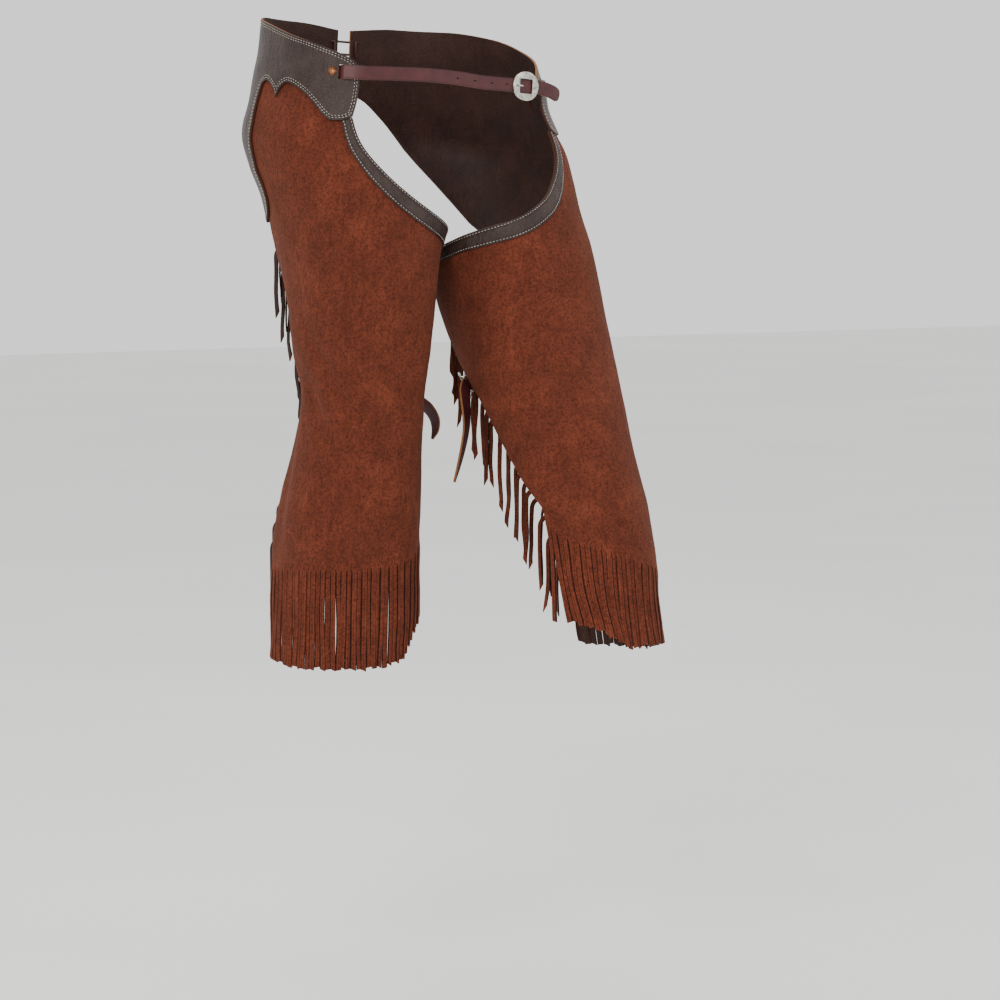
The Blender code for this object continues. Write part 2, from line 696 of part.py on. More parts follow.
def oval_plate(name, metal):
    """A flat oval with a rectangular window."""
    curve = bpy.data.curves.new(name, "CURVE")
    curve.dimensions = "2D"
    curve.fill_mode = "BOTH"
    curve.extrude = PLATE / 2
    rim = curve.splines.new("POLY")
    steps = 28
    rim.points.add(steps - 1)
    for k, point in enumerate(rim.points):
        a = 2 * math.pi * k / steps
        point.co = (BUCKLE_WIDTH / 2 * math.cos(a), BUCKLE_HEIGHT / 2 * math.sin(a), 0, 1)
    rim.use_cyclic_u = True
    hole = curve.splines.new("POLY")
    hole.points.add(3)
    for point, (x, y) in zip(hole.points, ((1, 1), (-1, 1), (-1, -1), (1, -1))):
        point.co = (x * WINDOW_WIDTH / 2, y * WINDOW_HEIGHT / 2, 0, 1)
    hole.use_cyclic_u = True
    body = bpy.data.objects.new(name, curve)
    parts.objects.link(body)
    solid = as_mesh(body)
    solid.data.materials.append(metal)
    return solid


def buckle(name, fitting, metal):
    """The plate, joined to the wire behind it that the tab is folded round."""
    plate = oval_plate(name, metal)
    plate.matrix_world = fitting.matrix(PLATE_LEVEL)
    reach = STRAP_WIDTH / 2 + SEAM * 3 + WIRE
    corners = [(PLATE_LEVEL, reach), (HEEL_LEVEL, reach), (HEEL_LEVEL, -reach),
               (PLATE_LEVEL, -reach)]
    loop = wire(f"{name}_heel", [fitting.at(HEEL_OFFSET, n, u) for n, u in corners], WIRE,
                metal)
    join_with(plate, as_mesh(loop))
    return plate


def prong(name, fitting, metal):
    """From beside the heel bar, up through the strap's hole and on to the plate."""
    root = HEEL_OFFSET - WIRE - STRAP_LEATHER - PRONG_RADIUS - SEAM * 3
    over = STRAP_LEATHER / 2 + SEAM * 3 + PLATE + PRONG_RADIUS + SEAM
    spots = [(root, HEEL_LEVEL + 0.0012), (0.0, -0.0040), (PRONG_HOLE + 0.0012, -0.0030),
             (PRONG_HOLE + 0.0002, -0.0014), (PRONG_HOLE - 0.0002, 0.0014),
             (PRONG_HOLE - 0.0010, 0.0036), (-0.0080, over - 0.0004), (-0.0105, over),
             (-0.0145, over)]
    return wire(name, [fitting.at(a, n) for a, n in spots], PRONG_RADIUS, metal)


def tab(name, fitting, before, material):
    """A short strap from where it is sewn to the heel bar, folded round it."""
    wrap = WIRE + SEAM + STRAP_LEATHER / 2
    stations = list(before)
    half = fitting.across * (STRAP_WIDTH / 2 - 0.0004)
    stations.append((fitting.at(HEEL_OFFSET + 0.004, HEEL_LEVEL + wrap), half))
    for degrees in (90, 135, 180, 225, 270):
        a = math.radians(degrees)
        stations.append((fitting.at(HEEL_OFFSET + math.cos(a) * wrap,
                                    HEEL_LEVEL + math.sin(a) * wrap), half))
    stations.append((fitting.at(HEEL_OFFSET + 0.006, HEEL_LEVEL - wrap), half))
    return band(name, stations, STRAP_LEATHER, material)


# --- the front strap ---

def front_fitting():
    i = next(k for k, spot in enumerate(FRONT_RUN) if spot.x == BUCKLE_X)
    before, here, after = (Vector(spot) for spot in FRONT_RUN[i - 1:i + 2])
    along = after - before
    return Fitting(here, along, Vector((along.y, -along.x, 0.0)))


def front_strap(skins, material):
    """Hidden end, slit, run across the front, buckle, free tip."""
    right = skins["right"]
    behind = YOKE_LIFT - SEAM * 2 - STRAP_LEATHER / 2
    before = YOKE_OUTSIDE + SEAM * 3 + STRAP_LEATHER / 2
    degree = right.degree(SLIT_TURN, STRAP_LEVEL)
    laid = [(STRAP_HIDDEN_TURN, behind), (62, behind)]
    for along, lift in ((0.0070, behind), (0.0036, behind), (0.0024, behind + 0.0005),
                        (-0.0024, before - 0.0005), (-0.0036, before), (-0.0080, before),
                        (-0.0170, before)):
        laid.append((SLIT_TURN + along / degree, lift))
    path = [right.at(turn, STRAP_LEVEL, lift) for turn, lift in laid]
    ups = [right.upward(turn, STRAP_LEVEL) for turn, lift in laid]
    path += evenly(path_through([path[-1], *FRONT_RUN]), 22)[1:]
    end = path.pop()
    way = (end - path[-1]).normalized()
    path += [end - way * 0.0045, end - way * 0.0016, end]
    ups += [Vector((0, 0, 1))] * (len(path) - len(ups))
    halves = [1.0] * (len(path) - 3) + [0.92, 0.66, 0.30]
    stations = []
    for i, (spot, up, half) in enumerate(zip(path, ups, halves)):
        way = (path[min(i + 1, len(path) - 1)] - path[max(i - 1, 0)]).normalized()
        up = (up - way * up.dot(way)).normalized()
        stations.append((spot, up * STRAP_WIDTH / 2 * half))
    strap = band("front_strap", stations, STRAP_LEATHER, material)
    for k, x in enumerate(HOLE_XS):
        a, b = next((a, b) for a, b in zip(path, path[1:]) if a.x <= x < b.x)
        spot = a.lerp(b, (x - a.x) / (b.x - a.x))
        way = b - a
        axis = Vector((way.y, -way.x, 0.0)).normalized()
        cut_with(strap, peg(f"strap_hole_{k + 1}", spot, axis, HOLE_RADIUS, 0.012))
    fitting = front_fitting()
    cut_with(strap, peg("prong_hole", fitting.at(PRONG_HOLE, 0.0), fitting.out, HOLE_RADIUS,
                        0.012))
    return strap


def front_tab(skins, fitting, material):
    """Short strap on the left yoke that holds the buckle."""
    left = skins["left"]
    lift = YOKE_OUTSIDE + SEAM * 3 + STRAP_LEATHER / 2
    half = STRAP_WIDTH / 2 - 0.0004
    sewn = [(on_yoke(left, turn, STRAP_LEVEL, lift)[0], left.upward(turn, STRAP_LEVEL) * half)
            for turn in (74, 70, 66, 62, 58, 54, 50.5)]
    return tab("front_tab", fitting, sewn, material)


def strap_slit(skins):
    """The slot in the right yoke that the front strap comes through."""
    right = skins["right"]
    spot = right.at(SLIT_TURN, STRAP_LEVEL, YOKE_LIFT + YOKE_LEATHER / 2)
    place = Fitting(spot, -right.onward(SLIT_TURN, STRAP_LEVEL),
                    right.outward(SLIT_TURN, STRAP_LEVEL))
    mesh = bpy.data.meshes.new("strap_slit")
    box = bmesh.new()
    bmesh.ops.create_cube(box, size=1.0)
    bmesh.ops.scale(box, verts=box.verts, vec=(SLIT_WIDTH, STRAP_WIDTH + 0.0014, 0.012))
    box.to_mesh(mesh)
    box.free()
    body = bpy.data.objects.new("strap_slit", mesh)
    body.matrix_world = place.matrix()
    parts.objects.link(body)
    return body


# --- thigh straps ---

def thigh_strap(skin, strap, fitting, material):
    """Long strap round the back of the thigh, through its buckle, to a hanging tail."""
    inside = -SEAM * 4 - STRAP_LEATHER / 2
    half = STRAP_WIDTH / 2
    stations = []
    count = 6
    for k in range(count + 1):
        turn = mix(strap.sewn, skin.back_edge(strap.z) + 13, k / count)
        stations.append((skin.at(turn, strap.z, inside), skin.upward(turn, strap.z) * half))
    up = skin.upward(strap.buckle, strap.z)
    up = (up - fitting.along * up.dot(fitting.along)).normalized()
    stations.append((fitting.at(-0.020, 0.0), up * half))
    stations.append((fitting.at(0.0, 0.0), up * half))
    lean = fitting.along * strap.lean_along + fitting.out * strap.lean_out
    rows = TAILS[skin.side]
    spots = [fitting.at(row.along, row.out) - Vector((0, 0, row.drop)) for row in rows]
    for i, row in enumerate(rows):
        way = (spots[min(i + 1, len(rows) - 1)] - spots[max(i - 1, 0)]).normalized()
        across = up * math.cos(row.twist * math.pi / 2) + lean * math.sin(row.twist * math.pi / 2)
        across = (across - way * across.dot(way)).normalized()
        stations.append((spots[i], across * half * row.width))
    body = band(f"thigh_strap_{skin.side}", stations, STRAP_LEATHER, material)
    cut_with(body, peg(f"thigh_hole_{skin.side}", fitting.at(PRONG_HOLE, 0.0), fitting.out,
                       HOLE_RADIUS, 0.012))
    return body


def thigh_tab(skin, strap, fitting, material):
    """Short strap inside the panel's inner edge that holds the thigh buckle."""
    inside = -SEAM * 4 - STRAP_LEATHER / 2
    edge = skin.inner_edge(strap.z + STRAP_WIDTH * 0.6) + 359
    sewn = []
    for turn in (strap.tab, mix(strap.tab, edge, 0.5), edge):
        up = skin.upward(turn, strap.z)
        sewn.append((skin.at(turn, strap.z, inside), up * (STRAP_WIDTH / 2 - 0.0004)
                     * (1 if fitting.across.z > 0 else -1)))
    return tab(f"thigh_tab_{skin.side}", fitting, sewn, material)


# --- rivets and lace ---

def rivet(name, skin, turn, z, radius, metal):
    """A low domed head on the yoke."""
    spot, out = on_yoke(skin, turn, z, YOKE_OUTSIDE + SEAM + RIVET_HEIGHT / 2)
    mesh = bpy.data.meshes.new(name)
    dome = bmesh.new()
    bmesh.ops.create_cone(dome, cap_ends=True, segments=14, radius1=radius,
                          radius2=radius * 0.62, depth=RIVET_HEIGHT)
    dome.to_mesh(mesh)
    dome.free()
    body = add_object(name, mesh, metal)
    body.rotation_euler = out.to_track_quat("Z", "Y").to_euler()
    body.location = spot
    return body


def back_lace(skins, bodies, material):
    """One lace that joins the yokes: across outside, through a hole, slanting up inside."""
    path = []
    middle = YOKE_LIFT + YOKE_LEATHER / 2
    for k, z in enumerate(LACE_HEIGHTS):
        pair = ("left", "right") if k % 2 else ("right", "left")
        for step, side in enumerate(pair):
            skin = skins[side]
            spot, out = on_yoke(skin, LACE_TURN, z, middle)
            way = skin.onward(LACE_TURN, z)
            angles = (-90, -135, 180, 135, 90) if step == 0 else (90, 135, 180, -135, -90)
            for degrees in angles:
                a = math.radians(degrees)
                path.append(spot + way * (LACE_BEND * (1 + math.cos(a)))
                            + out * (LACE_BEND * math.sin(a)))
            cut_with(bodies[side], peg(f"lace_hole_{side}_{k + 1}", spot, out, LACE_HOLE,
                                       0.012))
    down = Vector((0, 0, -0.012))
    path = [path[0] + down] + path + [path[-1] + down]
    return wire("back_lace", path, LACE_RADIUS, material, roundness=1)


def build():
    suede = leather("rust suede", (0.20, 0.040, 0.014), 0.95)
    fringe = leather("fringe suede", (0.22, 0.048, 0.018), 0.95)
    dark = leather("chocolate grain leather", (0.066, 0.040, 0.036), 0.5)
    latigo = leather("latigo strap leather", (0.085, 0.020, 0.020), 0.45)
    copper = leather("copper", (0.60, 0.26, 0.12), 0.35, 1.0)
    silver = leather("worn nickel silver", (0.55, 0.53, 0.48), 0.4, 1.0)

    skins = {side: Skin(side) for side in SIDES}
    yokes = {}
    for side, skin in skins.items():
        grid = panel_grid(skin)
        leg_panel(skin, grid, suede)
        front_binding(skin, grid, dark)
        hem_fringe(skin, fringe)
        back_fringe(skin, grid, fringe)
        yokes[side] = yoke(skin, dark)
        for k, (turn, z, radius) in enumerate(RIVETS[side]):
            rivet(f"rivet_{side}_{k + 1}", skin, turn, z, radius, copper)
        strap = THIGH_STRAPS[side]
        fitting = Fitting(skin.at(strap.buckle, strap.z, THIGH_LIFT),
                          skin.onward(strap.buckle, strap.z),
                          skin.outward(strap.buckle, strap.z))
        thigh_strap(skin, strap, fitting, latigo)
        thigh_tab(skin, strap, fitting, latigo)
        buckle(f"thigh_buckle_{side}", fitting, silver)
        prong(f"thigh_prong_{side}", fitting, silver)
    cut_with(yokes["right"], strap_slit(skins))
    back_lace(skins, yokes, latigo)
    fitting = front_fitting()
    front_strap(skins, latigo)
    front_tab(skins, fitting, latigo)
    buckle("front_buckle", fitting, silver)
    prong("front_prong", fitting, silver)


for leftover in list(bpy.data.objects):
    bpy.data.objects.remove(leftover)
parts = bpy.data.collections.new(NAME)
cutters = bpy.data.collections.new(f"{NAME}_cutters")
bpy.context.scene.collection.children.link(parts)
bpy.context.scene.collection.children.link(cutters)
yoke_top = through(YOKE_TOP)
front_scallop = through(FRONT_SCALLOP)
rear_scallop = through(REAR_SCALLOP)
build()
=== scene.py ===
import math
from bisect import bisect
from collections import namedtuple

import bmesh
import bpy
from mathutils import Matrix, Vector, kdtree, noise


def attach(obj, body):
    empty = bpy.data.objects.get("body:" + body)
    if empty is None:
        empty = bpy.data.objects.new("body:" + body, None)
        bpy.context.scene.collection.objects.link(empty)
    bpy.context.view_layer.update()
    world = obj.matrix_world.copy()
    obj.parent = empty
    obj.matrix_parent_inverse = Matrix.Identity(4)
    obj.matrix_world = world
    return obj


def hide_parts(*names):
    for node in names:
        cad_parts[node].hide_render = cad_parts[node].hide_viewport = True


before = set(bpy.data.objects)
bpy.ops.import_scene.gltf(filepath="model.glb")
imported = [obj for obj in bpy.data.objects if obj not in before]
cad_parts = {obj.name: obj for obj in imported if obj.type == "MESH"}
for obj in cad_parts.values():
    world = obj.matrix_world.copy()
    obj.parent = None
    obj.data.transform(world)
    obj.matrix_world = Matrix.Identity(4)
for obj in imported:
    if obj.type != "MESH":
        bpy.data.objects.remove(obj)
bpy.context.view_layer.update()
print("frame loaded")

# metres; the wearer faces -Y, the wearer's left is +X, and a place on the garment is its
# side, its turn in degrees from the front towards the outer hip, and its height
leather = {"suede": 0.0020, "yoke": 0.0024, "binding": 0.0016, "strap": 0.0026,
           "seam": 0.0003, "lap": 0.0012, "strapWidth": 0.016, "tabMargin": 0.0004}
yokeLift = leather["suede"] + leather["lap"]
yokeFace = yokeLift + leather["yoke"]
tabHalf = leather["strapWidth"] / 2 - leather["tabMargin"]
insideLevel = -leather["seam"] * 4 - leather["strap"] / 2   # under a buckled strap
upright = Vector((0, 0, 1))
tiny = 0.00001


def addBody(name, data):
    body = bpy.data.objects.new(name, data)
    bpy.context.scene.collection.objects.link(body)
    return body


def meshed(name, shape, *materials):
    mesh = bpy.data.meshes.new(name)
    shape.to_mesh(mesh)
    shape.free()
    for material in materials:
        mesh.materials.append(material)
    return addBody(name, mesh)


def axes(spot, *ways):
    place = Matrix(ways).transposed().to_4x4()
    place.translation = spot
    return place


def facing(spot, axis):
    return Matrix.Translation(spot) @ axis.to_track_quat("Z", "Y").to_matrix().to_4x4()


# camera, floor and light; originAt is the origin's place in an image 1000 wide
view = {"turn": -34, "height": 4.5, "away": 5.5, "lens": 168.3, "sensor": 36.0,
        "image": 1000, "originAt": (402, 80)}
floor = {"half": 14.0, "z": -1.06, "colours": ((0.3, "#ecebe9"), (0.7, "#f1f0ee"))}
sky = {"colour": "#fafafa", "strength": 1.25}
# place, aim, size, watts, colour
lamps = {
    "key": ((-3.6, -3.2, 2.6), (0, 0, -0.3), 2.2, 150, (1.0, 0.98, 0.95)),
    "fill": ((2.2, -4.2, 1.2), (0, 0, -0.3), 3.0, 30, (0.96, 0.98, 1.0)),
    "top": ((0.5, 1.6, 3.2), (0, 0, -0.2), 2.4, 50, (1, 1, 1)),
}


def aimCamera():
    turn, lift = math.radians(view["turn"]), math.radians(view["height"])
    right = Vector((math.cos(turn), math.sin(turn), 0))
    back = Vector((math.sin(turn) * math.cos(lift), -math.cos(turn) * math.cos(lift),
                   math.sin(lift)))
    up = back.cross(right)
    pixel = view["away"] * view["sensor"] / view["lens"] / view["image"]
    aside, below = ((place - view["image"] / 2) * pixel for place in view["originAt"])
    lens = bpy.data.cameras.new("camera")
    lens.sensor_width = view["sensor"]
    lens.lens = view["lens"]
    camera = addBody("camera", lens)
    camera.matrix_world = axes(back * view["away"] - right * aside + up * below,
                               right, up, back)
    bpy.context.scene.camera = camera


def addLights():
    for name, (place, aim, size, watts, colour) in lamps.items():
        lamp = bpy.data.lights.new(name, "AREA")
        lamp.shape = "DISK"
        lamp.size = size
        lamp.energy = watts
        lamp.color = colour
        body = addBody(name, lamp)
        body.location = place
        body.rotation_euler = (Vector(aim) - Vector(place)).to_track_quat("-Z", "Y").to_euler()
    world = bpy.data.worlds.new("studio")
    world.use_nodes = True
    around = world.node_tree.nodes["Background"]
    around.inputs["Color"].default_value = hexColour(sky["colour"])
    around.inputs["Strength"].default_value = sky["strength"]
    bpy.context.scene.world = world


def addFloor():
    # large, plain and lower than the boots' soles
    sheet = bmesh.new()
    bmesh.ops.create_grid(sheet, x_segments=1, y_segments=1, size=floor["half"])
    bmesh.ops.translate(sheet, verts=sheet.verts, vec=(0, 0, floor["z"]))
    meshed("floor", sheet, surface("matt_white_floor", {
        "shader": {"Roughness": 0.9, "Specular IOR Level": 0.1},
        "noise": {"unevenness": Pattern(900, 2)},
        "ramps": {"Base Color": ("unevenness", floor["colours"])}}))


def hexColour(text):
    values = [int(text[i:i + 2], 16) / 255 for i in (1, 3, 5)]
    return tuple(v / 12.92 if v <= 0.04045 else ((v + 0.055) / 1.055) ** 2.4
                 for v in values) + (1.0,)


def addNode(tree, kind, settings=None, inputs=None, links=None, stops=()):
    node = tree.nodes.new(kind)
    for name, value in (settings or {}).items():
        setattr(node, name, value)
    for place, value in (inputs or {}).items():
        node.inputs[place].default_value = value
    for place, source in (links or {}).items():
        tree.links.new(source, node.inputs[place])
    while stops and len(node.color_ramp.elements) < len(stops):
        node.color_ramp.elements.new(0.5)
    for k, (at, tone) in enumerate(stops):
        element = node.color_ramp.elements[k]
        element.position = at
        element.color = hexColour(tone) if isinstance(tone, str) else (tone,) * 3 + (1,)
    return node


# a noise: its size in mm, detail, roughness, distortion, and its scale along Z
Pattern = namedtuple("Pattern", "mm detail rough bend down", defaults=(3.0, 0.55, 0.0, 1.0))


def surface(name, finish):
    # a finish lists its patterns, colour ramps, layers over the base colour, and relief
    material = bpy.data.materials.new(name)
    material.use_nodes = True
    tree = material.node_tree
    main = tree.nodes["Principled BSDF"]
    for place, value in finish["shader"].items():
        main.inputs[place].default_value = value
    where = addNode(tree, "ShaderNodeTexCoord").outputs["Object"]
    made = {}
    for key, row in finish["noise"].items():
        spot = where
        if row.down != 1.0:
            spot = addNode(tree, "ShaderNodeMapping", inputs={"Scale": (1.0, 1.0, row.down)},
                           links={"Vector": where}).outputs["Vector"]
        made[key] = addNode(tree, "ShaderNodeTexNoise", inputs={
            "Scale": 1000 / row.mm, "Detail": row.detail, "Roughness": row.rough,
            "Distortion": row.bend}, links={"Vector": spot}).outputs["Fac"]
    if "cells" in finish:
        made["cells"] = addNode(tree, "ShaderNodeTexVoronoi", {"feature": "F1"},
                                {"Scale": 1000 / finish["cells"], "Randomness": 0.9},
                                {"Vector": where}).outputs["Distance"]
    mark = finish.get("mark")
    if mark:
        made[mark] = addNode(tree, "ShaderNodeAttribute",
                             {"attribute_name": mark}).outputs["Fac"]
    colours = {}
    for place, (key, stops) in finish["ramps"].items():
        colours[place] = addNode(tree, "ShaderNodeValToRGB", links={"Fac": made[key]},
                                 stops=stops).outputs["Color"]
    for kind, share, key, stops in finish.get("layers", ()):
        tone = addNode(tree, "ShaderNodeValToRGB", links={"Fac": made[key]},
                       stops=stops).outputs["Color"]
        if key == mark:
            made[key] = tone   # its relief follows the same steps
        colours["Base Color"] = addNode(
            tree, "ShaderNodeMix", {"data_type": "RGBA", "blend_type": kind}, {0: share},
            {6: colours["Base Color"], 7: tone}).outputs[2]
    normal = {}
    for key, strength, depth, inward in finish.get("relief", ()):
        bump = addNode(tree, "ShaderNodeBump", {"invert": inward},
                       {"Strength": strength, "Distance": depth},
                       {"Height": made[key], **normal})
        normal = {"Normal": bump.outputs["Normal"]}
    for place, source in {**colours, **normal}.items():
        tree.links.new(source, main.inputs[place])
    return material


def makeSuede(name, colours, flecks):
    # split cowhide, roughout side: a short nap that scatters light, so no gloss, a pale
    # sheen at grazing angles, and cloudy patches where the nap is brushed either way;
    # on a strand, painted shade beside the cuts and a painted highlight on its curled edge
    return surface(name, {
        "shader": {"Roughness": 0.93, "Specular IOR Level": 0.18, "Sheen Weight": 0.09,
                   "Sheen Roughness": 0.45, "Sheen Tint": hexColour("#d98a5e")},
        "noise": {"cloud": Pattern(46, 4, 0.6, 0.4), "brushed": Pattern(7, 5, 0.65, 0.6, 0.45),
                  "tufts": Pattern(3.2, 3, 0.7),   # coarser than real nap, so that it shows
                  "nap": Pattern(1.3, 3, 0.7)},
        "mark": "strandShade",
        "ramps": {"Base Color": ("cloud", list(zip((0.28, 0.52, 0.76), colours)))},
        "layers": [("SOFT_LIGHT", 0.50, "brushed", [(0.30, 0.28), (0.72, 0.74)]),
                   ("MULTIPLY", flecks, "tufts", [(0.36, 0.42), (0.56, 1.0)]),
                   ("MULTIPLY", flecks * 0.8, "nap", [(0.36, 0.5), (0.55, 1.0)]),
                   # painted shade along a strand's edges and a painted highlight across its
                   # curl, over its own tone
                   ("MULTIPLY", 1.0, "strandShade",
                    [(0.0, 1.0), (0.10, 1.14), (0.30, 0.92), (0.46, 1.40), (0.60, 1.15),
                     (0.86, 0.10)])],
        "relief": [("brushed", 0.35, 0.0014, False), ("tufts", 0.8, 0.0018, False),
                   ("nap", 0.5, 0.0008, False)]})


def makeGrain(name, colours, shine, depth, grooved=False):
    # chrome tanned, pebbled and waxed grain: small domed cells with a soft grey sheen on
    # their tops and painted shade in the creases and wrinkle troughs; grooved, it is also
    # burnished at the rim and pressed along the thread, with painted shade in the grooves
    # painted shade in the creases between the cells and in the wrinkles' troughs
    layers = [("MULTIPLY", 0.45, "cells", [(0.30, 1.0), (0.66, 0.45)]),
              ("MULTIPLY", 0.35, "wrinkle", [(0.36, 0.55), (0.60, 1.0)])]
    relief = [("wrinkle", 0.55, 0.0035, False), ("cells", depth, 0.0012, True)]
    if grooved:
        # darker at the burnished rim, and painted shade in the two grooves pressed along the
        # thread
        layers.append(("MULTIPLY", 0.7, "fromEdge",
                       [(0.0, 0.35), (0.13, 0.8), (0.24, 0.45), (0.34, 0.8), (0.46, 0.5),
                        (0.60, 1.0)]))
        relief.append(("fromEdge", 0.5, 0.0012, False))
    return surface(name, {
        "shader": {"Roughness": shine, "Specular IOR Level": 0.21, "Coat Weight": 0.03,
                   "Coat Roughness": 0.4},
        "noise": {"cloud": Pattern(30, 4, 0.6), "wrinkle": Pattern(9, 4, 0.6, 1.0, 0.30)},
        "cells": 2.0, "mark": "fromEdge" if grooved else None,
        "ramps": {"Base Color": ("cloud", list(zip((0.30, 0.72), colours)))},
        "layers": layers, "relief": relief})


def makeLatigo(name, colours):
    # oiled and waxed latigo: close smooth grain, maroon through, with a dull wax shine and
    # an edge crease pressed in along both sides, darkened there by painted shade
    return surface(name, {
        "shader": {"Roughness": 0.46, "Specular IOR Level": 0.30, "Coat Weight": 0.08,
                   "Coat Roughness": 0.3},
        "noise": {"cloud": Pattern(16, 4, 0.6), "pores": Pattern(1.4, 3, 0.6)},
        "mark": "fromEdge",
        "ramps": {"Base Color": ("cloud", list(zip((0.30, 0.75), colours)))},
        # darker right at the rim, and painted shade in the crease line
        "layers": [("MULTIPLY", 0.75, "fromEdge",
                    [(0.0, 0.55), (0.10, 0.95), (0.16, 0.45), (0.22, 1.0)])],
        "relief": [("pores", 0.3, 0.0004, False), ("fromEdge", 0.5, 0.0010, False)]})


def makeRawEdge(name, colours):
    # cut edge of vegetable tanned hide: tan fibre in thin layers
    return surface(name, {
        "shader": {"Roughness": 0.8, "Specular IOR Level": 0.25},
        "noise": {"fibre": Pattern(1.2, 4, 0.7)},
        "ramps": {"Base Color": ("fibre", list(zip((0.3, 0.7), colours)))},
        "relief": [("fibre", 0.5, 0.0005, False)]})


def makeThread(name, colours):
    # bonded nylon saddle thread, off white and a little soiled
    return surface(name, {
        "shader": {"Roughness": 0.6, "Specular IOR Level": 0.3},
        "noise": {"soil": Pattern(12, 3)},
        "ramps": {"Base Color": ("soil", list(zip((0.3, 0.6), colours)))}})


def makeMetal(name, colours, rough, mm):
    # cast and tumbled metal, handled: bright on the rubbed faces, dull in the patina
    return surface(name, {
        "shader": {"Metallic": 1.0},
        "noise": {"patina": Pattern(mm, 5, 0.65, 0.6), "scuffs": Pattern(1.2, 3, 0.6)},
        "ramps": {"Base Color": ("patina", list(zip((0.36, 0.60), colours))),
                  "Roughness": ("patina", [(0.34, rough + 0.22), (0.62, rough)])},
        "relief": [("scuffs", 0.16, 0.0004, False)]})


rustSuede = makeSuede("roughout_suede_rust", ("#58281a", "#632e1e", "#733825"), 0.76)
# lighter than the face: the paler cut fibre, and painted highlight along the strands' edges
strandEdge = makeSuede("roughout_suede_cut_edge", ("#6b3726", "#7a422e", "#884d37"), 0.25)
fleshSide = makeGrain("smooth_grain_inside", ("#2b1712", "#3d231a"), 0.62, 0.35)
chocolate = makeGrain("pebbled_grain_chocolate", ("#30231f", "#463732"), 0.43, 0.50, True)
rawTan = makeRawEdge("raw_hide_edge_tan", ("#5f3820", "#9a6b42"))
rawDark = makeRawEdge("raw_hide_edge_brown", ("#2c1812", "#4f2b1c"))
latigo = makeLatigo("waxed_latigo_maroon", ("#3b1618", "#4e2022"))
lace = makeLatigo("waxed_lace_brown", ("#3f1c18", "#57291f"))
thread = makeThread("bonded_nylon_thread", ("#8c8379", "#b8afa5"))
copper = makeMetal("worn_copper", ("#6d3a22", "#c98a5e"), 0.34, 3)
# darker than the dome, for the washer round it
darkCopper = makeMetal("darker_copper_washer", ("#38241b", "#6a4634"), 0.50, 2)
silver = makeMetal("worn_nickel_silver", ("#8f8c80", "#dcd9d0"), 0.24, 4)
print("materials made")


# curves through short tables
def through(rows):
    # smooth y(x) that never overshoots its rows
    xs, ys = zip(*sorted((row[0], row[1]) for row in rows))
    steps = [(y1 - y0) / (x1 - x0) for x0, x1, y0, y1 in zip(xs, xs[1:], ys, ys[1:])]
    slopes = [steps[0]]
    for before, after in zip(steps, steps[1:]):
        slopes.append(2 * before * after / (before + after) if before * after > 0 else 0.0)
    slopes.append(steps[-1])

    def at(x):
        x = min(max(x, xs[0]), xs[-1])
        i = min(max(bisect(xs, x) - 1, 0), len(xs) - 2)
        span = xs[i + 1] - xs[i]
        t = (x - xs[i]) / span
        return ((2 * t**3 - 3 * t**2 + 1) * ys[i] + (t**3 - 2 * t**2 + t) * span * slopes[i]
                + (3 * t**2 - 2 * t**3) * ys[i + 1] + (t**3 - t**2) * span * slopes[i + 1])

    return at


def pathThrough(points, samples=16):
    points = [Vector(p) for p in points]
    ends = [2 * points[0] - points[1]] + points + [2 * points[-1] - points[-2]]
    path = []
    for p0, p1, p2, p3 in zip(ends, ends[1:], ends[2:], ends[3:]):
        for k in range(samples):
            t = k / samples
            path.append(0.5 * (2 * p1 + (p2 - p0) * t + (2 * p0 - 5 * p1 + 4 * p2 - p3) * t**2
                               + (3 * p1 - p0 - 3 * p2 + p3) * t**3))
    path.append(points[-1])
    return path


def evenly(path, count):
    lengths = [0.0]
    for a, b in zip(path, path[1:]):
        lengths.append(lengths[-1] + (b - a).length)
    spots = []
    for k in range(count + 1):
        target = lengths[-1] * k / count
        i = min(max(bisect(lengths, target) - 1, 0), len(path) - 2)
        step = lengths[i + 1] - lengths[i]
        spots.append(path[i].lerp(path[i + 1], (target - lengths[i]) / step))
    return spots


def mix(a, b, t):
    return a + (b - a) * t


def mixPair(a, b, t):
    return mix(a[0], b[0], t), mix(a[1], b[1], t)


def ease(t):
    t = min(max(t, 0.0), 1.0)
    return t * t * (3 - 2 * t)


def headings(path):
    # the way a path runs at each of its points
    last = len(path) - 1
    return [(path[min(i + 1, last)] - path[max(i - 1, 0)]).normalized()
            for i in range(last + 1)]


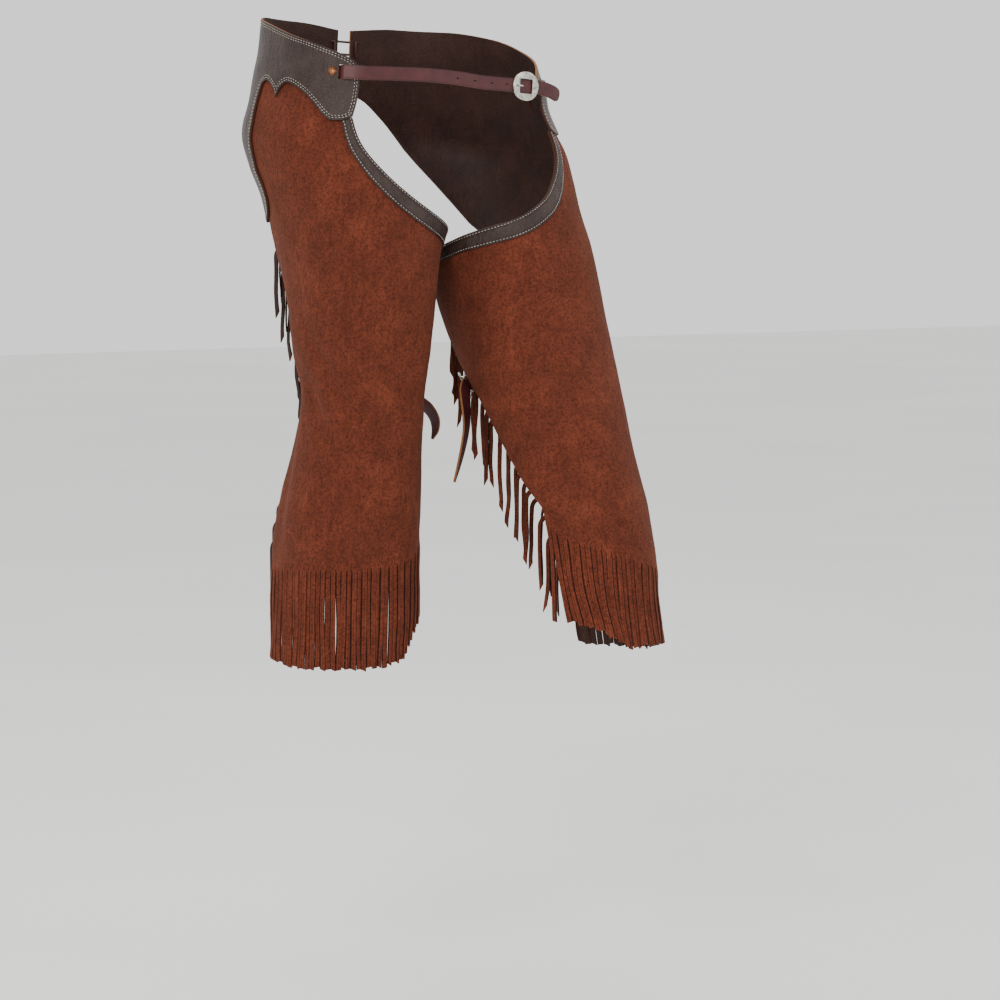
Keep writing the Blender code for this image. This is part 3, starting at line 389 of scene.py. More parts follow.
# the worn form, one side at a time; probe is how far, in degrees and metres, the surface
# is felt either way to find its slope
Section = namedtuple("Section", "z across forward outer inner front back")
Fold = namedtuple("Fold", "turn z lean halfTurn halfHeight depth")
form = {
    "roundness": 2.25, "hipTilt": 0.06, "flareSpan": 30, "probe": (0.5, 0.002),
    "sign": {"right": -1, "left": 1},
    "sections": {
        "right": [
            Section(0.10, 0.000, 0.000, 0.163, 0.163, 0.123, 0.121),
            Section(0.04, 0.000, 0.000, 0.168, 0.168, 0.127, 0.125),
            Section(-0.02, 0.004, 0.001, 0.174, 0.170, 0.131, 0.135),
            Section(-0.07, 0.024, 0.006, 0.164, 0.143, 0.127, 0.149),
            Section(-0.11, 0.048, 0.020, 0.139, 0.114, 0.117, 0.138),
            Section(-0.15, 0.072, 0.038, 0.109, 0.094, 0.106, 0.121),
            Section(-0.19, 0.088, 0.053, 0.092, 0.082, 0.097, 0.110),
            Section(-0.26, 0.096, 0.062, 0.079, 0.078, 0.086, 0.090),
            Section(-0.32, 0.098, 0.062, 0.073, 0.074, 0.078, 0.080),
            Section(-0.375, 0.099, 0.064, 0.065, 0.067, 0.071, 0.069),
            Section(-0.43, 0.100, 0.060, 0.070, 0.068, 0.072, 0.076),
            Section(-0.49, 0.102, 0.054, 0.078, 0.072, 0.076, 0.086),
            Section(-0.55, 0.105, 0.050, 0.082, 0.074, 0.078, 0.091),
            Section(-0.72, 0.107, 0.048, 0.083, 0.075, 0.079, 0.091),
        ],
        "left": [
            Section(0.10, 0.000, 0.000, 0.148, 0.163, 0.123, 0.121),
            Section(0.04, 0.000, 0.000, 0.153, 0.168, 0.127, 0.125),
            Section(-0.02, 0.004, 0.001, 0.169, 0.170, 0.131, 0.135),
            Section(-0.07, 0.024, 0.013, 0.167, 0.146, 0.130, 0.152),
            Section(-0.11, 0.048, 0.031, 0.145, 0.120, 0.123, 0.145),
            Section(-0.15, 0.072, 0.051, 0.118, 0.101, 0.116, 0.129),
            Section(-0.19, 0.090, 0.070, 0.102, 0.093, 0.109, 0.117),
            Section(-0.26, 0.100, 0.096, 0.0935, 0.090, 0.102, 0.106),
            Section(-0.32, 0.102, 0.129, 0.0865, 0.086, 0.093, 0.096),
            Section(-0.375, 0.102, 0.161, 0.083, 0.082, 0.085, 0.084),
            Section(-0.43, 0.103, 0.185, 0.081, 0.078, 0.082, 0.085),
            Section(-0.49, 0.105, 0.205, 0.082, 0.078, 0.082, 0.090),
            Section(-0.55, 0.108, 0.213, 0.084, 0.078, 0.082, 0.094),
            Section(-0.72, 0.110, 0.213, 0.084, 0.078, 0.082, 0.094),
        ],
    },
    "folds": {
        "right": [
            Fold(62, -0.350, 45, 10, 0.075, -0.0045),
            Fold(84, -0.385, 60, 12, 0.060, -0.0040),
            Fold(6, -0.400, 5, 13, 0.130, -0.0040),
            Fold(34, -0.300, -20, 16, 0.120, 0.0030),
            Fold(118, -0.470, 10, 12, 0.090, -0.0050),
            Fold(-30, -0.300, 20, 16, 0.080, 0.0030),
        ],
        "left": [
            Fold(-34, -0.330, 30, 15, 0.090, -0.0040),
            Fold(4, -0.430, -10, 18, 0.110, 0.0035),
            Fold(70, -0.330, 15, 14, 0.110, -0.0045),
            Fold(110, -0.450, 10, 13, 0.090, -0.0050),
            Fold(-60, -0.420, 25, 13, 0.060, 0.0030),
        ],
    },
    # turn of each panel's two long edges, by height
    "innerEdge": {
        "right": [(-0.207, -98), (-0.24, -106), (-0.28, -110), (-0.33, -108), (-0.375, -102),
                  (-0.43, -90), (-0.48, -74), (-0.513, -60)],
        "left": [(-0.207, -98), (-0.24, -110), (-0.27, -117), (-0.31, -121), (-0.34, -116),
                 (-0.38, -102), (-0.415, -93), (-0.44, -84), (-0.466, -72), (-0.490, -60)],
    },
    "backEdge": {
        "right": [(-0.160, 150), (-0.172, 150.5), (-0.20, 158), (-0.25, 166), (-0.32, 170),
                  (-0.375, 168), (-0.43, 160), (-0.50, 151), (-0.562, 146)],
        "left": [(-0.160, 150), (-0.172, 150.5), (-0.20, 161), (-0.25, 174), (-0.31, 185),
                 (-0.36, 188), (-0.43, 176), (-0.50, 161), (-0.552, 150)],
    },
    # how far the back of a panel stands off the leg, by height
    "backFlare": {
        "right": [(-0.12, 0.0), (-0.19, 0.008), (-0.25, 0.018), (-0.31, 0.020), (-0.36, 0.009),
                  (-0.41, 0.001), (-0.57, 0.002)],
        "left": [(-0.12, 0.0), (-0.20, 0.005), (-0.27, 0.011), (-0.33, 0.010), (-0.39, 0.004),
                 (-0.46, 0.004), (-0.57, 0.006)],
    },
    # height of the panel's foot, by turn
    "hem": {
        "right": [(-60, -0.513), (-34, -0.536), (-3, -0.545), (24, -0.551), (48, -0.552),
                  (94, -0.558), (146, -0.562)],
        "left": [(-60, -0.490), (-48, -0.502), (-18, -0.513), (19, -0.528), (45, -0.536),
                 (95, -0.546), (150, -0.552)],
    },
}

wear = {"wrinkle": 0.0007, "acrossTurns": 0.055, "downMetres": 26.0, "apart": 7.0,
        "fine": 0.00025, "finer": 3.1}


class Skin:
    # the inner face of the leather on one side of the body

    def __init__(self, side):
        self.side = side
        self.sign = form["sign"][side]
        rows = form["sections"][side]
        self.sizes = {name: through([(row.z, getattr(row, name)) for row in rows])
                      for name in Section._fields[1:]}
        self.innerEdge = through(form["innerEdge"][side])
        self.backEdge = through(form["backEdge"][side])
        self.flare = through(form["backFlare"][side])
        self.hem = through(form["hem"][side])

    def folding(self, turn, z):
        total = 0.0
        for fold in form["folds"][self.side]:
            down = (fold.z - z) / fold.halfHeight
            aside = (turn - fold.turn + fold.lean * (fold.z - z) / 0.1) / fold.halfTurn
            total += fold.depth * math.exp(-down**2 - aside**2)
        spot = Vector((turn * wear["acrossTurns"], z * wear["downMetres"],
                       self.sign * wear["apart"]))
        return (total + wear["wrinkle"] * noise.noise(spot)
                + wear["fine"] * noise.noise(spot * wear["finer"]))

    def bare(self, turn, z):
        size = {name: curve(z) for name, curve in self.sizes.items()}
        s = math.sin(math.radians(turn))
        c = math.cos(math.radians(turn))
        wide = size["outer"] if s >= 0 else size["inner"]
        deep = size["front"] if c >= 0 else size["back"]
        power = form["roundness"]
        oval = abs(s / wide) ** power + abs(c / deep) ** power
        radius = oval ** (-1 / power) + self.folding(turn, z)
        past = turn - self.backEdge(z)
        span = form["flareSpan"]
        if past > -span:
            radius += self.flare(z) * ease(1 + past / span) * (1 - ease(past / span - 0.4))
        x = self.sign * (size["across"] + radius * s)
        return Vector((x, -(size["forward"] + radius * c), z - form["hipTilt"] * x))

    def slopes(self, turn, z):
        # how far a degree and a metre go along the surface
        side, up = form["probe"]
        return ((self.bare(turn + side, z) - self.bare(turn - side, z)) / (2 * side),
                (self.bare(turn, z + up) - self.bare(turn, z - up)) / (2 * up))

    def onward(self, turn, z):
        return self.slopes(turn, z)[0].normalized()

    def upward(self, turn, z):
        return self.slopes(turn, z)[1].normalized()

    def outward(self, turn, z):
        across, up = self.slopes(turn, z)
        return (across.normalized().cross(up.normalized()) * self.sign).normalized()

    def at(self, turn, z, lift=0.0):
        return self.bare(turn, z) + self.outward(turn, z) * lift

    def beside(self, turn, z, step):
        # the place a small step away along the surface
        across, up = self.slopes(turn, z)
        aa, ab, bb = across.dot(across), across.dot(up), up.dot(up)
        sa, sb = step.dot(across), step.dot(up)
        whole = aa * bb - ab * ab
        return turn + (sa * bb - sb * ab) / whole, z + (sb * aa - sa * ab) / whole


skins = {side: Skin(side) for side in form["sign"]}


# shells, finished pieces and stitches
def settle(body):
    # the piece with its modifiers applied
    shown = body.evaluated_get(bpy.context.evaluated_depsgraph_get())
    mesh = bpy.data.meshes.new_from_object(shown)
    body.modifiers.clear()
    body.data = mesh
    mesh.name = body.name
    return body


def shell(name, columns, rows, place, thickness, offset, materials, gap=None, flip=False,
          bevel=0.0, shade=None):
    # a grid laid on place(column, row); materials are its face, its lining and its edge
    grid = bmesh.new()
    bmesh.ops.create_grid(grid, x_segments=columns, y_segments=rows, size=0.5)
    spots = {v: (round((v.co.x + 0.5) * columns), round((0.5 - v.co.y) * rows))
             for v in grid.verts}
    if gap:
        gone = [face for face in grid.faces
                if gap(min(spots[v][0] for v in face.verts),
                       min(spots[v][1] for v in face.verts))]
        bmesh.ops.delete(grid, geom=gone, context="FACES")
    order = [spots[vertex] for vertex in grid.verts]
    for vertex, spot in zip(grid.verts, order):
        vertex.co = place(*spot)
    if flip:
        bmesh.ops.reverse_faces(grid, faces=grid.faces)
    body = meshed(name, grid, *materials)
    # a strand's painted shade and highlight, with its own tone, read by the suede
    if shade:
        dark = body.data.attributes.new("strandShade", "FLOAT", "POINT")
        for k, spot in enumerate(order):
            dark.data[k].value = shade(*spot)
    wall = body.modifiers.new("thickness", "SOLIDIFY")
    wall.thickness = thickness
    wall.offset = offset
    wall.material_offset = 1
    wall.material_offset_rim = 2
    if offset == 1.0:
        # the outer face goes exactly over the inner one, also where the grid is slanted
        settle(body)
        points = body.data.vertices
        first = len(order) if (points[0].co - place(*order[0])).length < tiny else 0
        for k, spot in enumerate(order):
            points[first + k].co = place(*spot, thickness)
    if bevel:
        edge = body.modifiers.new("edge", "BEVEL")
        edge.width = bevel
        edge.segments = 2
        edge.limit_method = "ANGLE"
        edge.angle_limit = math.radians(50)
    return settle(body)


def nearest(spots):
    tree = kdtree.KDTree(len(spots))
    for i, spot in enumerate(spots):
        tree.insert(spot, i)
    tree.balance()
    return tree


def markEdge(body, spots):
    # distance of each point from the cut edge, in centimetres
    edge = nearest(spots)
    far = body.data.attributes.new("fromEdge", "FLOAT", "POINT")
    for i, vertex in enumerate(body.data.vertices):
        far.data[i].value = min(edge.find(vertex.co)[2] * 100, 1.0)


def finishPiece(body, slot=None, node=None, sharp=40):
    body.data.shade_smooth()
    body.data.set_sharp_from_angle(angle=math.radians(sharp))
    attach(body, "root")
    if slot:
        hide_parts(node)
    return body


# reach is the share of its inset that a stitch keeps from every edge
stitch = {"length": 0.0029, "pitch": 0.0040, "width": 0.00085, "flat": 0.4,
          "proud": 0.00018, "jump": 0.009, "reach": 0.86}


def sewRow(rows, skin, edge, inset, lift, inward):
    # a row of stitches at an even distance inside an edge of (turn, z)
    cut = nearest([skin.at(*spot, lift) for spot in edge])
    kept = []
    for spot, way in zip(edge, headings([skin.bare(*spot) for spot in edge])):
        out = skin.outward(*spot)
        step = way.cross(out).normalized() * (skin.sign * inward * inset)
        place = skin.at(*skin.beside(*spot, step), lift + stitch["proud"])
        if cut.find(place)[2] > inset * stitch["reach"]:
            kept.append((place, out))
    gone = 0.0
    for (a, out), (b, _) in zip(kept, kept[1:]):
        step = (b - a).length
        if step > stitch["jump"]:
            gone = 0.0
            continue
        while gone < step:
            rows.append((a.lerp(b, gone / step), (b - a).normalized(), out))
            gone += stitch["pitch"]
        gone -= step


def sewAll(name, rows):
    cloth = bmesh.new()
    size = Matrix.Diagonal((stitch["length"] / 2, stitch["width"] / 2,
                            stitch["width"] * stitch["flat"], 1.0))
    for spot, way, out in rows:
        side = out.cross(way).normalized()
        place = axes(spot, way, side, way.cross(side).normalized())
        bmesh.ops.create_icosphere(cloth, subdivisions=1, radius=1.0, matrix=place @ size)
    return finishPiece(meshed(name, cloth, thread), sharp=180)


# leg panels and the bindings of their front arcs
arc = {"points": [(-98, -0.203), (-68, -0.187), (-34, -0.169), (-13, -0.157), (5, -0.142),
                  (18, -0.128), (28, -0.114), (36, -0.100), (42, -0.086), (46, -0.072),
                  (50, -0.0530)],
       "widths": [(-98, 0.0140), (-68, 0.0180), (-34, 0.0212), (5, 0.0215), (28, 0.0185),
                  (42, 0.0150), (50, 0.0120)],
       "columns": 66, "metresPerTurn": 0.0025, "rowsSewn": (0.0022, 0.0024), "bevel": 0.0004}
panel = {"rows": 84, "tuckRows": 4, "sewnFrom": 62, "sewnTo": 150, "turnStep": 1.0,
         "tuck": 0.007, "slantSpan": 5.0, "probe": 0.2,
         "corners": [(50, -0.0530, 54, -0.0578), (53, -0.0500, 56, -0.0584),
                     (56, -0.0475, 58, -0.0583), (59, -0.0440, 60, -0.0555)]}
yokeCut = {"top": [(50, 0.004), (54, 0.014), (62, 0.024), (76, 0.037), (104, 0.058),
                   (126, 0.065), (150, 0.065), (176, 0.060)],
           "span": (50, 176), "cusp": 85.3,
           "front": [(50, -0.052), (54, -0.057), (58, -0.0575), (62, -0.051), (66, -0.040),
                     (73, -0.023), (79.6, -0.015), (83, -0.020), (85.3, -0.032)],
           "rear": [(85.3, -0.032), (88, -0.020), (92.7, -0.012), (96, -0.016),
                    (98.8, -0.035), (101, -0.062), (105, -0.089), (109.4, -0.118),
                    (114, -0.143), (121, -0.160), (130, -0.170), (141, -0.175),
                    (150, -0.172), (153.5, -0.160), (155, -0.120), (157, -0.078),
                    (161, -0.045), (168, -0.024), (176, -0.016)],
           "turnStep": 0.9, "rows": 30, "rowsSewn": (0.0026, 0.0052), "bevel": 0.0005,
           "nearEdge": (0, 0.0010, 0.0021, 0.0033, 0.0046, 0.0062, 0.0082),
           "outlineStep": 0.35, "sideSteps": 40, "tanAbove": 0.002}
yokeTop = through(yokeCut["top"])
frontScallop = through(yokeCut["front"])
rearScallop = through(yokeCut["rear"])


def yokeLower(turn):
    return frontScallop(turn) if turn <= yokeCut["cusp"] else rearScallop(turn)


def turnsBetween(low, high, step):
    # turns from low to high, with the cusp among them
    turns = []
    cusp = yokeCut["cusp"]
    ends = [low, cusp, high] if low < cusp < high else [low, high]
    for a, b in zip(ends, ends[1:]):
        count = max(1, round((b - a) / step))
        turns += [mix(a, b, k / count) for k in range(count)]
    return turns + [high]


def denser(edge, steps=4):
    return [mixPair(a, b, k / steps) for a, b in zip(edge, edge[1:])
            for k in range(steps)] + [edge[-1]]


def arcEdges(skin):
    # upper edge of the binding along the front arc, and the panel's edge under it
    flat = arc["metresPerTurn"]
    width = through(arc["widths"])
    path = pathThrough([(turn * flat, z, 0.0) for turn, z in arc["points"]])
    top = [(p.x / flat, p.y) for p in evenly(path, arc["columns"])][:-1]
    ends = top + [panel["corners"][0][:2]]
    first = []
    for i, spot in enumerate(top):
        way = skin.at(*ends[i + 1]) - skin.at(*ends[max(i - 1, 0)])
        down = way.cross(skin.outward(*spot)).normalized() * skin.sign
        first.append(skin.beside(*spot, down * width(spot[0])))
    edge = first[0][1]
    first[0] = (skin.innerEdge(edge), edge)
    return top, first


def underYoke(skin, turn):
    # where the panel ends, tucked in square to the yoke's edge, straight up near the cusp
    z = yokeLower(turn)
    ahead, behind = (skin.at(turn + step, yokeLower(turn + step))
                     for step in (panel["probe"], -panel["probe"]))
    square = skin.outward(turn, z).cross(ahead - behind).normalized() * skin.sign
    slant = ease(abs(turn - yokeCut["cusp"]) / panel["slantSpan"])
    inside = skin.upward(turn, z).lerp(square, slant).normalized() * panel["tuck"]
    return skin.beside(turn, z, inside)


def panelGrid(skin):
    # rows of places from the tucked edge to the foot
    top, first = arcEdges(skin)
    for turn, z, turnBelow, zBelow in panel["corners"]:
        top.append((turn, z))
        first.append((turnBelow, zBelow))
    for turn in turnsBetween(panel["sewnFrom"], panel["sewnTo"], panel["turnStep"]):
        top.append(underYoke(skin, turn))
        first.append((turn, yokeLower(turn)))
    columns = len(top) - 1
    inner, back = form["hem"][skin.side][0][0], form["backEdge"][skin.side][-1][1]
    foot = [skin.hem(mix(inner, back, i / columns)) for i in range(columns + 1)]
    grid = [[mixPair(a, b, j / panel["tuckRows"]) for a, b in zip(top, first)]
            for j in range(panel["tuckRows"])]
    (start, startZ), (end, endZ) = first[0], first[-1]
    for j in range(panel["rows"] + 1):
        t = j / panel["rows"]
        low = skin.innerEdge(mix(startZ, foot[0], t))
        high = skin.backEdge(mix(endZ, foot[-1], t))
        row = []
        for i, (turn, z) in enumerate(first):
            share = (turn - start) / (end - start)
            hanging = turn + (low - start) * (1 - share) ** 3 + (high - end) * share**3
            row.append((mix(hanging, mix(low, high, i / columns), t * t),
                        mix(z, foot[i], t)))
        grid.append(row)
    return grid


def hide(skin, name, spots, lift, thickness, materials, bevel=0.0):
    # a shell over rows of places on the skin
    def place(i, j, over=0.0):
        return skin.at(*spots[j][i], lift + over)

    return shell(f"{name}_{skin.side}", len(spots[0]) - 1, len(spots) - 1, place, thickness,
                 1.0, materials, flip=skin.sign < 0, bevel=bevel)


def legPanel(skin, grid):
    body = hide(skin, "suede_panel", grid, 0.0, leather["suede"],
                [rustSuede, fleshSide, rawDark])
    return finishPiece(body, "suede", f"leg_panel_{skin.side}")


def frontBinding(skin, grid, sewn):
    lift = leather["suede"] + leather["seam"]
    spots = [row[:arc["columns"] + 1] for row in grid[:panel["tuckRows"] + 1]]
    body = hide(skin, "arc_binding", spots, lift, leather["binding"],
                [chocolate, fleshSide, rawDark], arc["bevel"])
    edges = [denser(spots[0]), denser(spots[-1])]
    markEdge(body, [skin.at(*spot, lift) for edge in edges for spot in edge])
    for edge, inset, inward in zip(edges, arc["rowsSewn"], (1, -1)):
        sewRow(sewn, skin, edge, inset, lift + leather["binding"], inward)
    return finishPiece(body, "grain_leather", f"front_binding_{skin.side}")


# yokes
def yokeRows(turn):
    # places down the yoke at a turn, close together along both edges
    top, lower = yokeTop(turn), yokeLower(turn)
    near = yokeCut["nearEdge"]
    middle = [mix(top - near[-1], lower + near[-1], k / yokeCut["rows"])
              for k in range(1, yokeCut["rows"])]
    heights = [top - step for step in near] + middle + [lower + step for step in near[::-1]]
    return [(turn, z) for z in heights]


def slitCutter(skin):
    spot = slit["turn"], slit["level"]
    box = bmesh.new()
    bmesh.ops.create_cube(box, size=1.0)
    bmesh.ops.scale(box, verts=box.verts, vec=(
        slit["width"], leather["strapWidth"] + slit["play"], cutterDepth))
    body = meshed("slit_cutter", box)
    body.matrix_world = Fitting(skin.at(*spot, yokeLift + leather["yoke"] / 2),
                                -skin.onward(*spot), skin.outward(*spot)).matrix()
    return body


def yoke(skin, sewn):
    columns = [yokeRows(turn) for turn in turnsBetween(*yokeCut["span"],
                                                       yokeCut["turnStep"])]
    body = hide(skin, "scalloped_yoke", list(zip(*columns)), yokeLift, leather["yoke"],
                [chocolate, fleshSide, rawDark, rawTan], yokeCut["bevel"])
    for face in body.data.polygons:
        level = face.center.z + form["hipTilt"] * face.center.x
        if face.material_index == 2 and level > yokeCut["tanAbove"]:
            face.material_index = 3   # the upper cut is left tan
    if skin.side == "right":
        cutOut(body, slitCutter(skin))
    dense = turnsBetween(*yokeCut["span"], yokeCut["outlineStep"])
    top = [(turn, yokeTop(turn)) for turn in dense]
    lower = [(turn, yokeLower(turn)) for turn in dense]
    steps = yokeCut["sideSteps"]
    front, back = ([mixPair(top[end], lower[end], k / steps) for k in range(steps + 1)]
                   for end in (0, -1))
    markEdge(body, [skin.at(*spot, yokeLift + leather["yoke"] / 2)
                    for spot in top + lower + front + back])
    for inset in yokeCut["rowsSewn"]:
        sewRow(sewn, skin, top[::-1] + front[1:] + lower[1:], inset, yokeFace, -1)
    return finishPiece(body, "grain_leather", f"yoke_{skin.side}")


# fringe: narrow strips slit into strands; what differs from strand to strand is a list of
# waves, each an amount, a rate and a phase
hemFringe = {"strands": 50, "slack": 0.04, "strip": 0.007, "rows": 16, "cup": 0.0015,
             "slant": 0.0012, "slantBack": -0.6, "widen": 0.05, "layer": 0.0006,
             "widths": [(0.03, 3.7, 0)], "lengths": [(0.010, 2.4, 0), (0.008, 5.1, 0)],
             "tilts": [(0.0010, 2.9, 0.6)], "tones": [(0.15, 2.1, 0.8)], "tone": 0.15,
             # neighbours drift aside and out together, and each strand a little by itself
             "together": 0.3, "drift": 2.6, "ownDrift": 1.5, "lift": 0.004,
             "tips": {"right": [(-60, -0.622), (-42, -0.636), (-24, -0.668), (-13, -0.676),
                                (6, -0.683), (40, -0.686), (72, -0.688), (110, -0.684),
                                (146, -0.678)],
                      "left": [(-64, -0.617), (-44, -0.620), (-29, -0.627), (-13, -0.636),
                               (1, -0.645), (20, -0.642), (46, -0.640), (95, -0.652),
                               (150, -0.655)]},
             # how far the tips are carried aside by the stride, by turn; one hangs loose
             "lean": {"right": [(-60, 0.0), (150, 0.0)],
                      "left": [(-60, 0.016), (-30, 0.013), (10, 0.009), (60, 0.006),
                               (150, 0.006)]},
             "looseLean": 0.003}
backFringe = {"strands": 34, "width": 0.0052, "strip": 0.007, "drop": 0.072, "bend": 0.013,
              "bendRows": 8, "hangRows": 8, "fan": 9, "fanStep": 9.5, "fanStart": 12,
              "thickness": 0.0016, "foot": 0.010, "lengths": [(0.06, 2.2, 0)],
              "taper": 0.1, "slant": 0.004, "cup": 0.0004, "drift": 0.006, "turn": 0.004}


def sway(k, t, seed):
    # small aimless drift of a strand, growing towards its tip
    return noise.noise(Vector((k * 0.73, t * 1.6, seed))) * t


def uneven(k, waves):
    return sum(amount * math.sin(rate * k + phase) for amount, rate, phase in waves)


def strandShade(i, j):
    # painted shade and highlight across a strand: 1 along one edge of a strand, less on the
    # other, its own tone between, 0 on the strip
    k, part = divmod(i, 3)
    own = hemFringe["tone"] + uneven(k, hemFringe["tones"])
    return ease((j - 1) / 2) * (0.80, own, 1.0)[part]


def cutStrands(skin, name, count, rows, place, thickness, node):
    # three columns to a strand, and nothing between two strands below the strip
    body = shell(f"{name}_{skin.side}", 3 * count - 1, rows, place, thickness, 0.0,
                 [rustSuede, fleshSide, strandEdge], flip=skin.sign < 0,
                 gap=lambda i, j: i % 3 == 2 and j > 0, shade=strandShade)
    return finishPiece(body, "fringe", f"{node}_{skin.side}", sharp=60)


def hemStrands(skin):
    side = skin.side
    look = hemFringe
    tips, leans = through(look["tips"][side]), through(look["lean"][side])
    first = form["hem"][side][0][0]
    step = (form["backEdge"][side][-1][1] - first) / look["strands"]
    middle = leather["suede"] / 2
    aside = Vector((math.cos(math.radians(view["turn"])),
                    math.sin(math.radians(view["turn"])), 0))

    def place(i, j):
        k, part = divmod(i, 3)
        across = part - 1
        root = first + (k + 0.5) * step
        top = skin.hem(root)
        t = max(j - 1, 0) / look["rows"]
        grown = 1 + look["widen"] * ease(4 * t) + uneven(k, look["widths"]) * ease(3 * t)
        half = step * (1 - look["slack"] * ease(8 * t)) * grown / 2
        if j < 2:
            turn = root + across * half
            return skin.at(turn, skin.hem(turn) - look["strip"] * j, middle)
        length = (tips(root) - top + look["strip"]) * (1 + uneven(k, look["lengths"]))
        slant = look["slant"] * across * t**6 * (1 if k % 2 else look["slantBack"])
        near = k * look["together"]
        turn = (root + across * half + look["drift"] * sway(near, t, 1.0)
                + look["ownDrift"] * sway(k, t, 4.0))
        # each strand curls, and turns a little about its own length
        curl = look["cup"] * (0.5 - abs(across)) + across * uneven(k, look["tilts"])
        layer = look["layer"] * (1 if k % 2 else -1)
        lift = middle + (curl + layer) * ease(5 * t) + look["lift"] * sway(near, t, 5.0)
        lean = look["looseLean"] if side == "left" and k == 0 else leans(root)
        return (skin.at(turn, top - look["strip"] + length * t + slant, lift)
                + aside * (lean * t * t))

    return cutStrands(skin, "cut_fringe", look["strands"], look["rows"] + 1, place,
                      leather["suede"], "hem_fringe")


def backStrands(skin, grid):
    look = backFringe
    rows = grid[panel["tuckRows"] + 1:]
    middle = leather["suede"] / 2
    edge = [skin.at(*row[-1], middle) for row in rows]
    aways = [(a - skin.at(*row[-3], middle)).normalized() for a, row in zip(edge, rows)]
    upper = edge[0].z
    pitch = (upper - edge[-1].z - look["foot"]) / look["strands"]
    half = look["width"] / 2

    def root(z, reach):
        i = max(k for k in range(len(edge) - 1) if edge[k].z >= z or k == 0)
        t = (edge[i].z - z) / (edge[i].z - edge[i + 1].z)
        away = aways[i].lerp(aways[i + 1], t).normalized()
        return edge[i].lerp(edge[i + 1], t) + away * reach, away

    def place(i, j):
        k, part = divmod(i, 3)
        across = 1 - part
        z = upper - pitch * (k + 0.5)
        if j < 2:
            return root(z + half * across, mix(leather["seam"] * 2, look["strip"], j))[0]
        start, away = root(z, look["strip"])
        away = Vector((away.x, away.y, 0.0)).normalized()
        out = away.cross(upright) * skin.sign
        fan = math.radians(look["fanStart"] + look["fanStep"] * (k * 4 % look["fan"]))
        heading = away * math.cos(fan) + out * math.sin(fan)
        # it bends over from level to hanging, and then hangs
        bent = min((j - 1) / look["bendRows"], 1.0)
        angle = bent * math.pi / 2
        t = max(j - 1 - look["bendRows"], 0) / look["hangRows"]
        sink = (look["bend"] * (1 - math.cos(angle))
                + look["drop"] * (1 + uneven(k, look["lengths"])) * t)
        side = heading * math.sin(angle) + upright * math.cos(angle)
        centre = (start + heading * (look["bend"] * math.sin(angle)) - upright * sink
                  + heading * (look["drift"] * sway(k, t, 3.0))
                  + side.cross(upright) * (look["turn"] * sway(k, t, 9.0)))
        slant = upright * (look["slant"] * across * t**6 * (1 if k % 2 else -1))
        cup = look["cup"] * (1 - abs(across)) * bent
        return (centre + side * across * half * (1 - look["taper"] * t) + slant
                + heading.cross(side) * cup)

    return cutStrands(skin, "edge_fringe", look["strands"],
                      look["bendRows"] + look["hangRows"] + 1, place, look["thickness"],
                      "back_fringe")


# straps, tabs and buckles; through lists how the strap comes out of its slit: a distance
# along it, 0 behind or 1 before the yoke, and how far it has left that level
slit = {"turn": 57.0, "width": 0.0072, "level": -0.0015, "play": 0.0014, "hidden": (67, 62),
        "through": [(0.0070, 0, 0), (0.0036, 0, 0), (0.0024, 0, 0.0005),
                    (-0.0024, 1, -0.0005), (-0.0036, 1, 0), (-0.0080, 1, 0),
                    (-0.0170, 1, 0)]}
cutterDepth = 0.012
overYoke = yokeFace + leather["seam"] * 3 + leather["strap"] / 2
frontRun = [(-0.1180, -0.1115, 0.0062), (-0.0800, -0.1195, 0.0054),
            (-0.0425, -0.1245, 0.0040), (-0.0045, -0.1262, 0.0008),
            (0.0300, -0.1254, -0.0035), (0.0640, -0.1224, -0.0058),
            (0.0937, -0.1178, -0.0078), (0.1180, -0.1140, -0.0098),
            (0.1340, -0.1120, -0.0130), (0.1500, -0.1065, -0.0195)]
runSteps = 22
buckleSpot = 6
holeXs = (-0.0050, 0.0190, 0.0435, 0.0655)
# distance back from the very end, and share of the width there
strapTip = [(0.0062, 0.99), (0.0040, 0.93), (0.0022, 0.80), (0.0009, 0.60), (0.0, 0.28)]
tabTurns = (74, 70, 66, 62, 58, 54, 50.5)
hardware = {"width": 0.040, "height": 0.034, "windowWidth": 0.020, "windowHeight": 0.017,
            "corner": 0.0022, "plate": 0.0022, "wire": 0.0012, "heelOffset": 0.0145,
            "heelSunk": 0.0008, "prong": 0.0011, "prongHole": -0.0045, "hole": 0.0019,
            "soft": 0.0005, "dome": 0.0006, "sides": 64, "tabBefore": 0.004,
            "tabAfter": 0.006}
plateLevel = leather["strap"] / 2 + leather["seam"] * 2 + hardware["plate"] / 2
heelLevel = -(leather["strap"] * 1.5 + leather["seam"] * 4 + hardware["wire"])
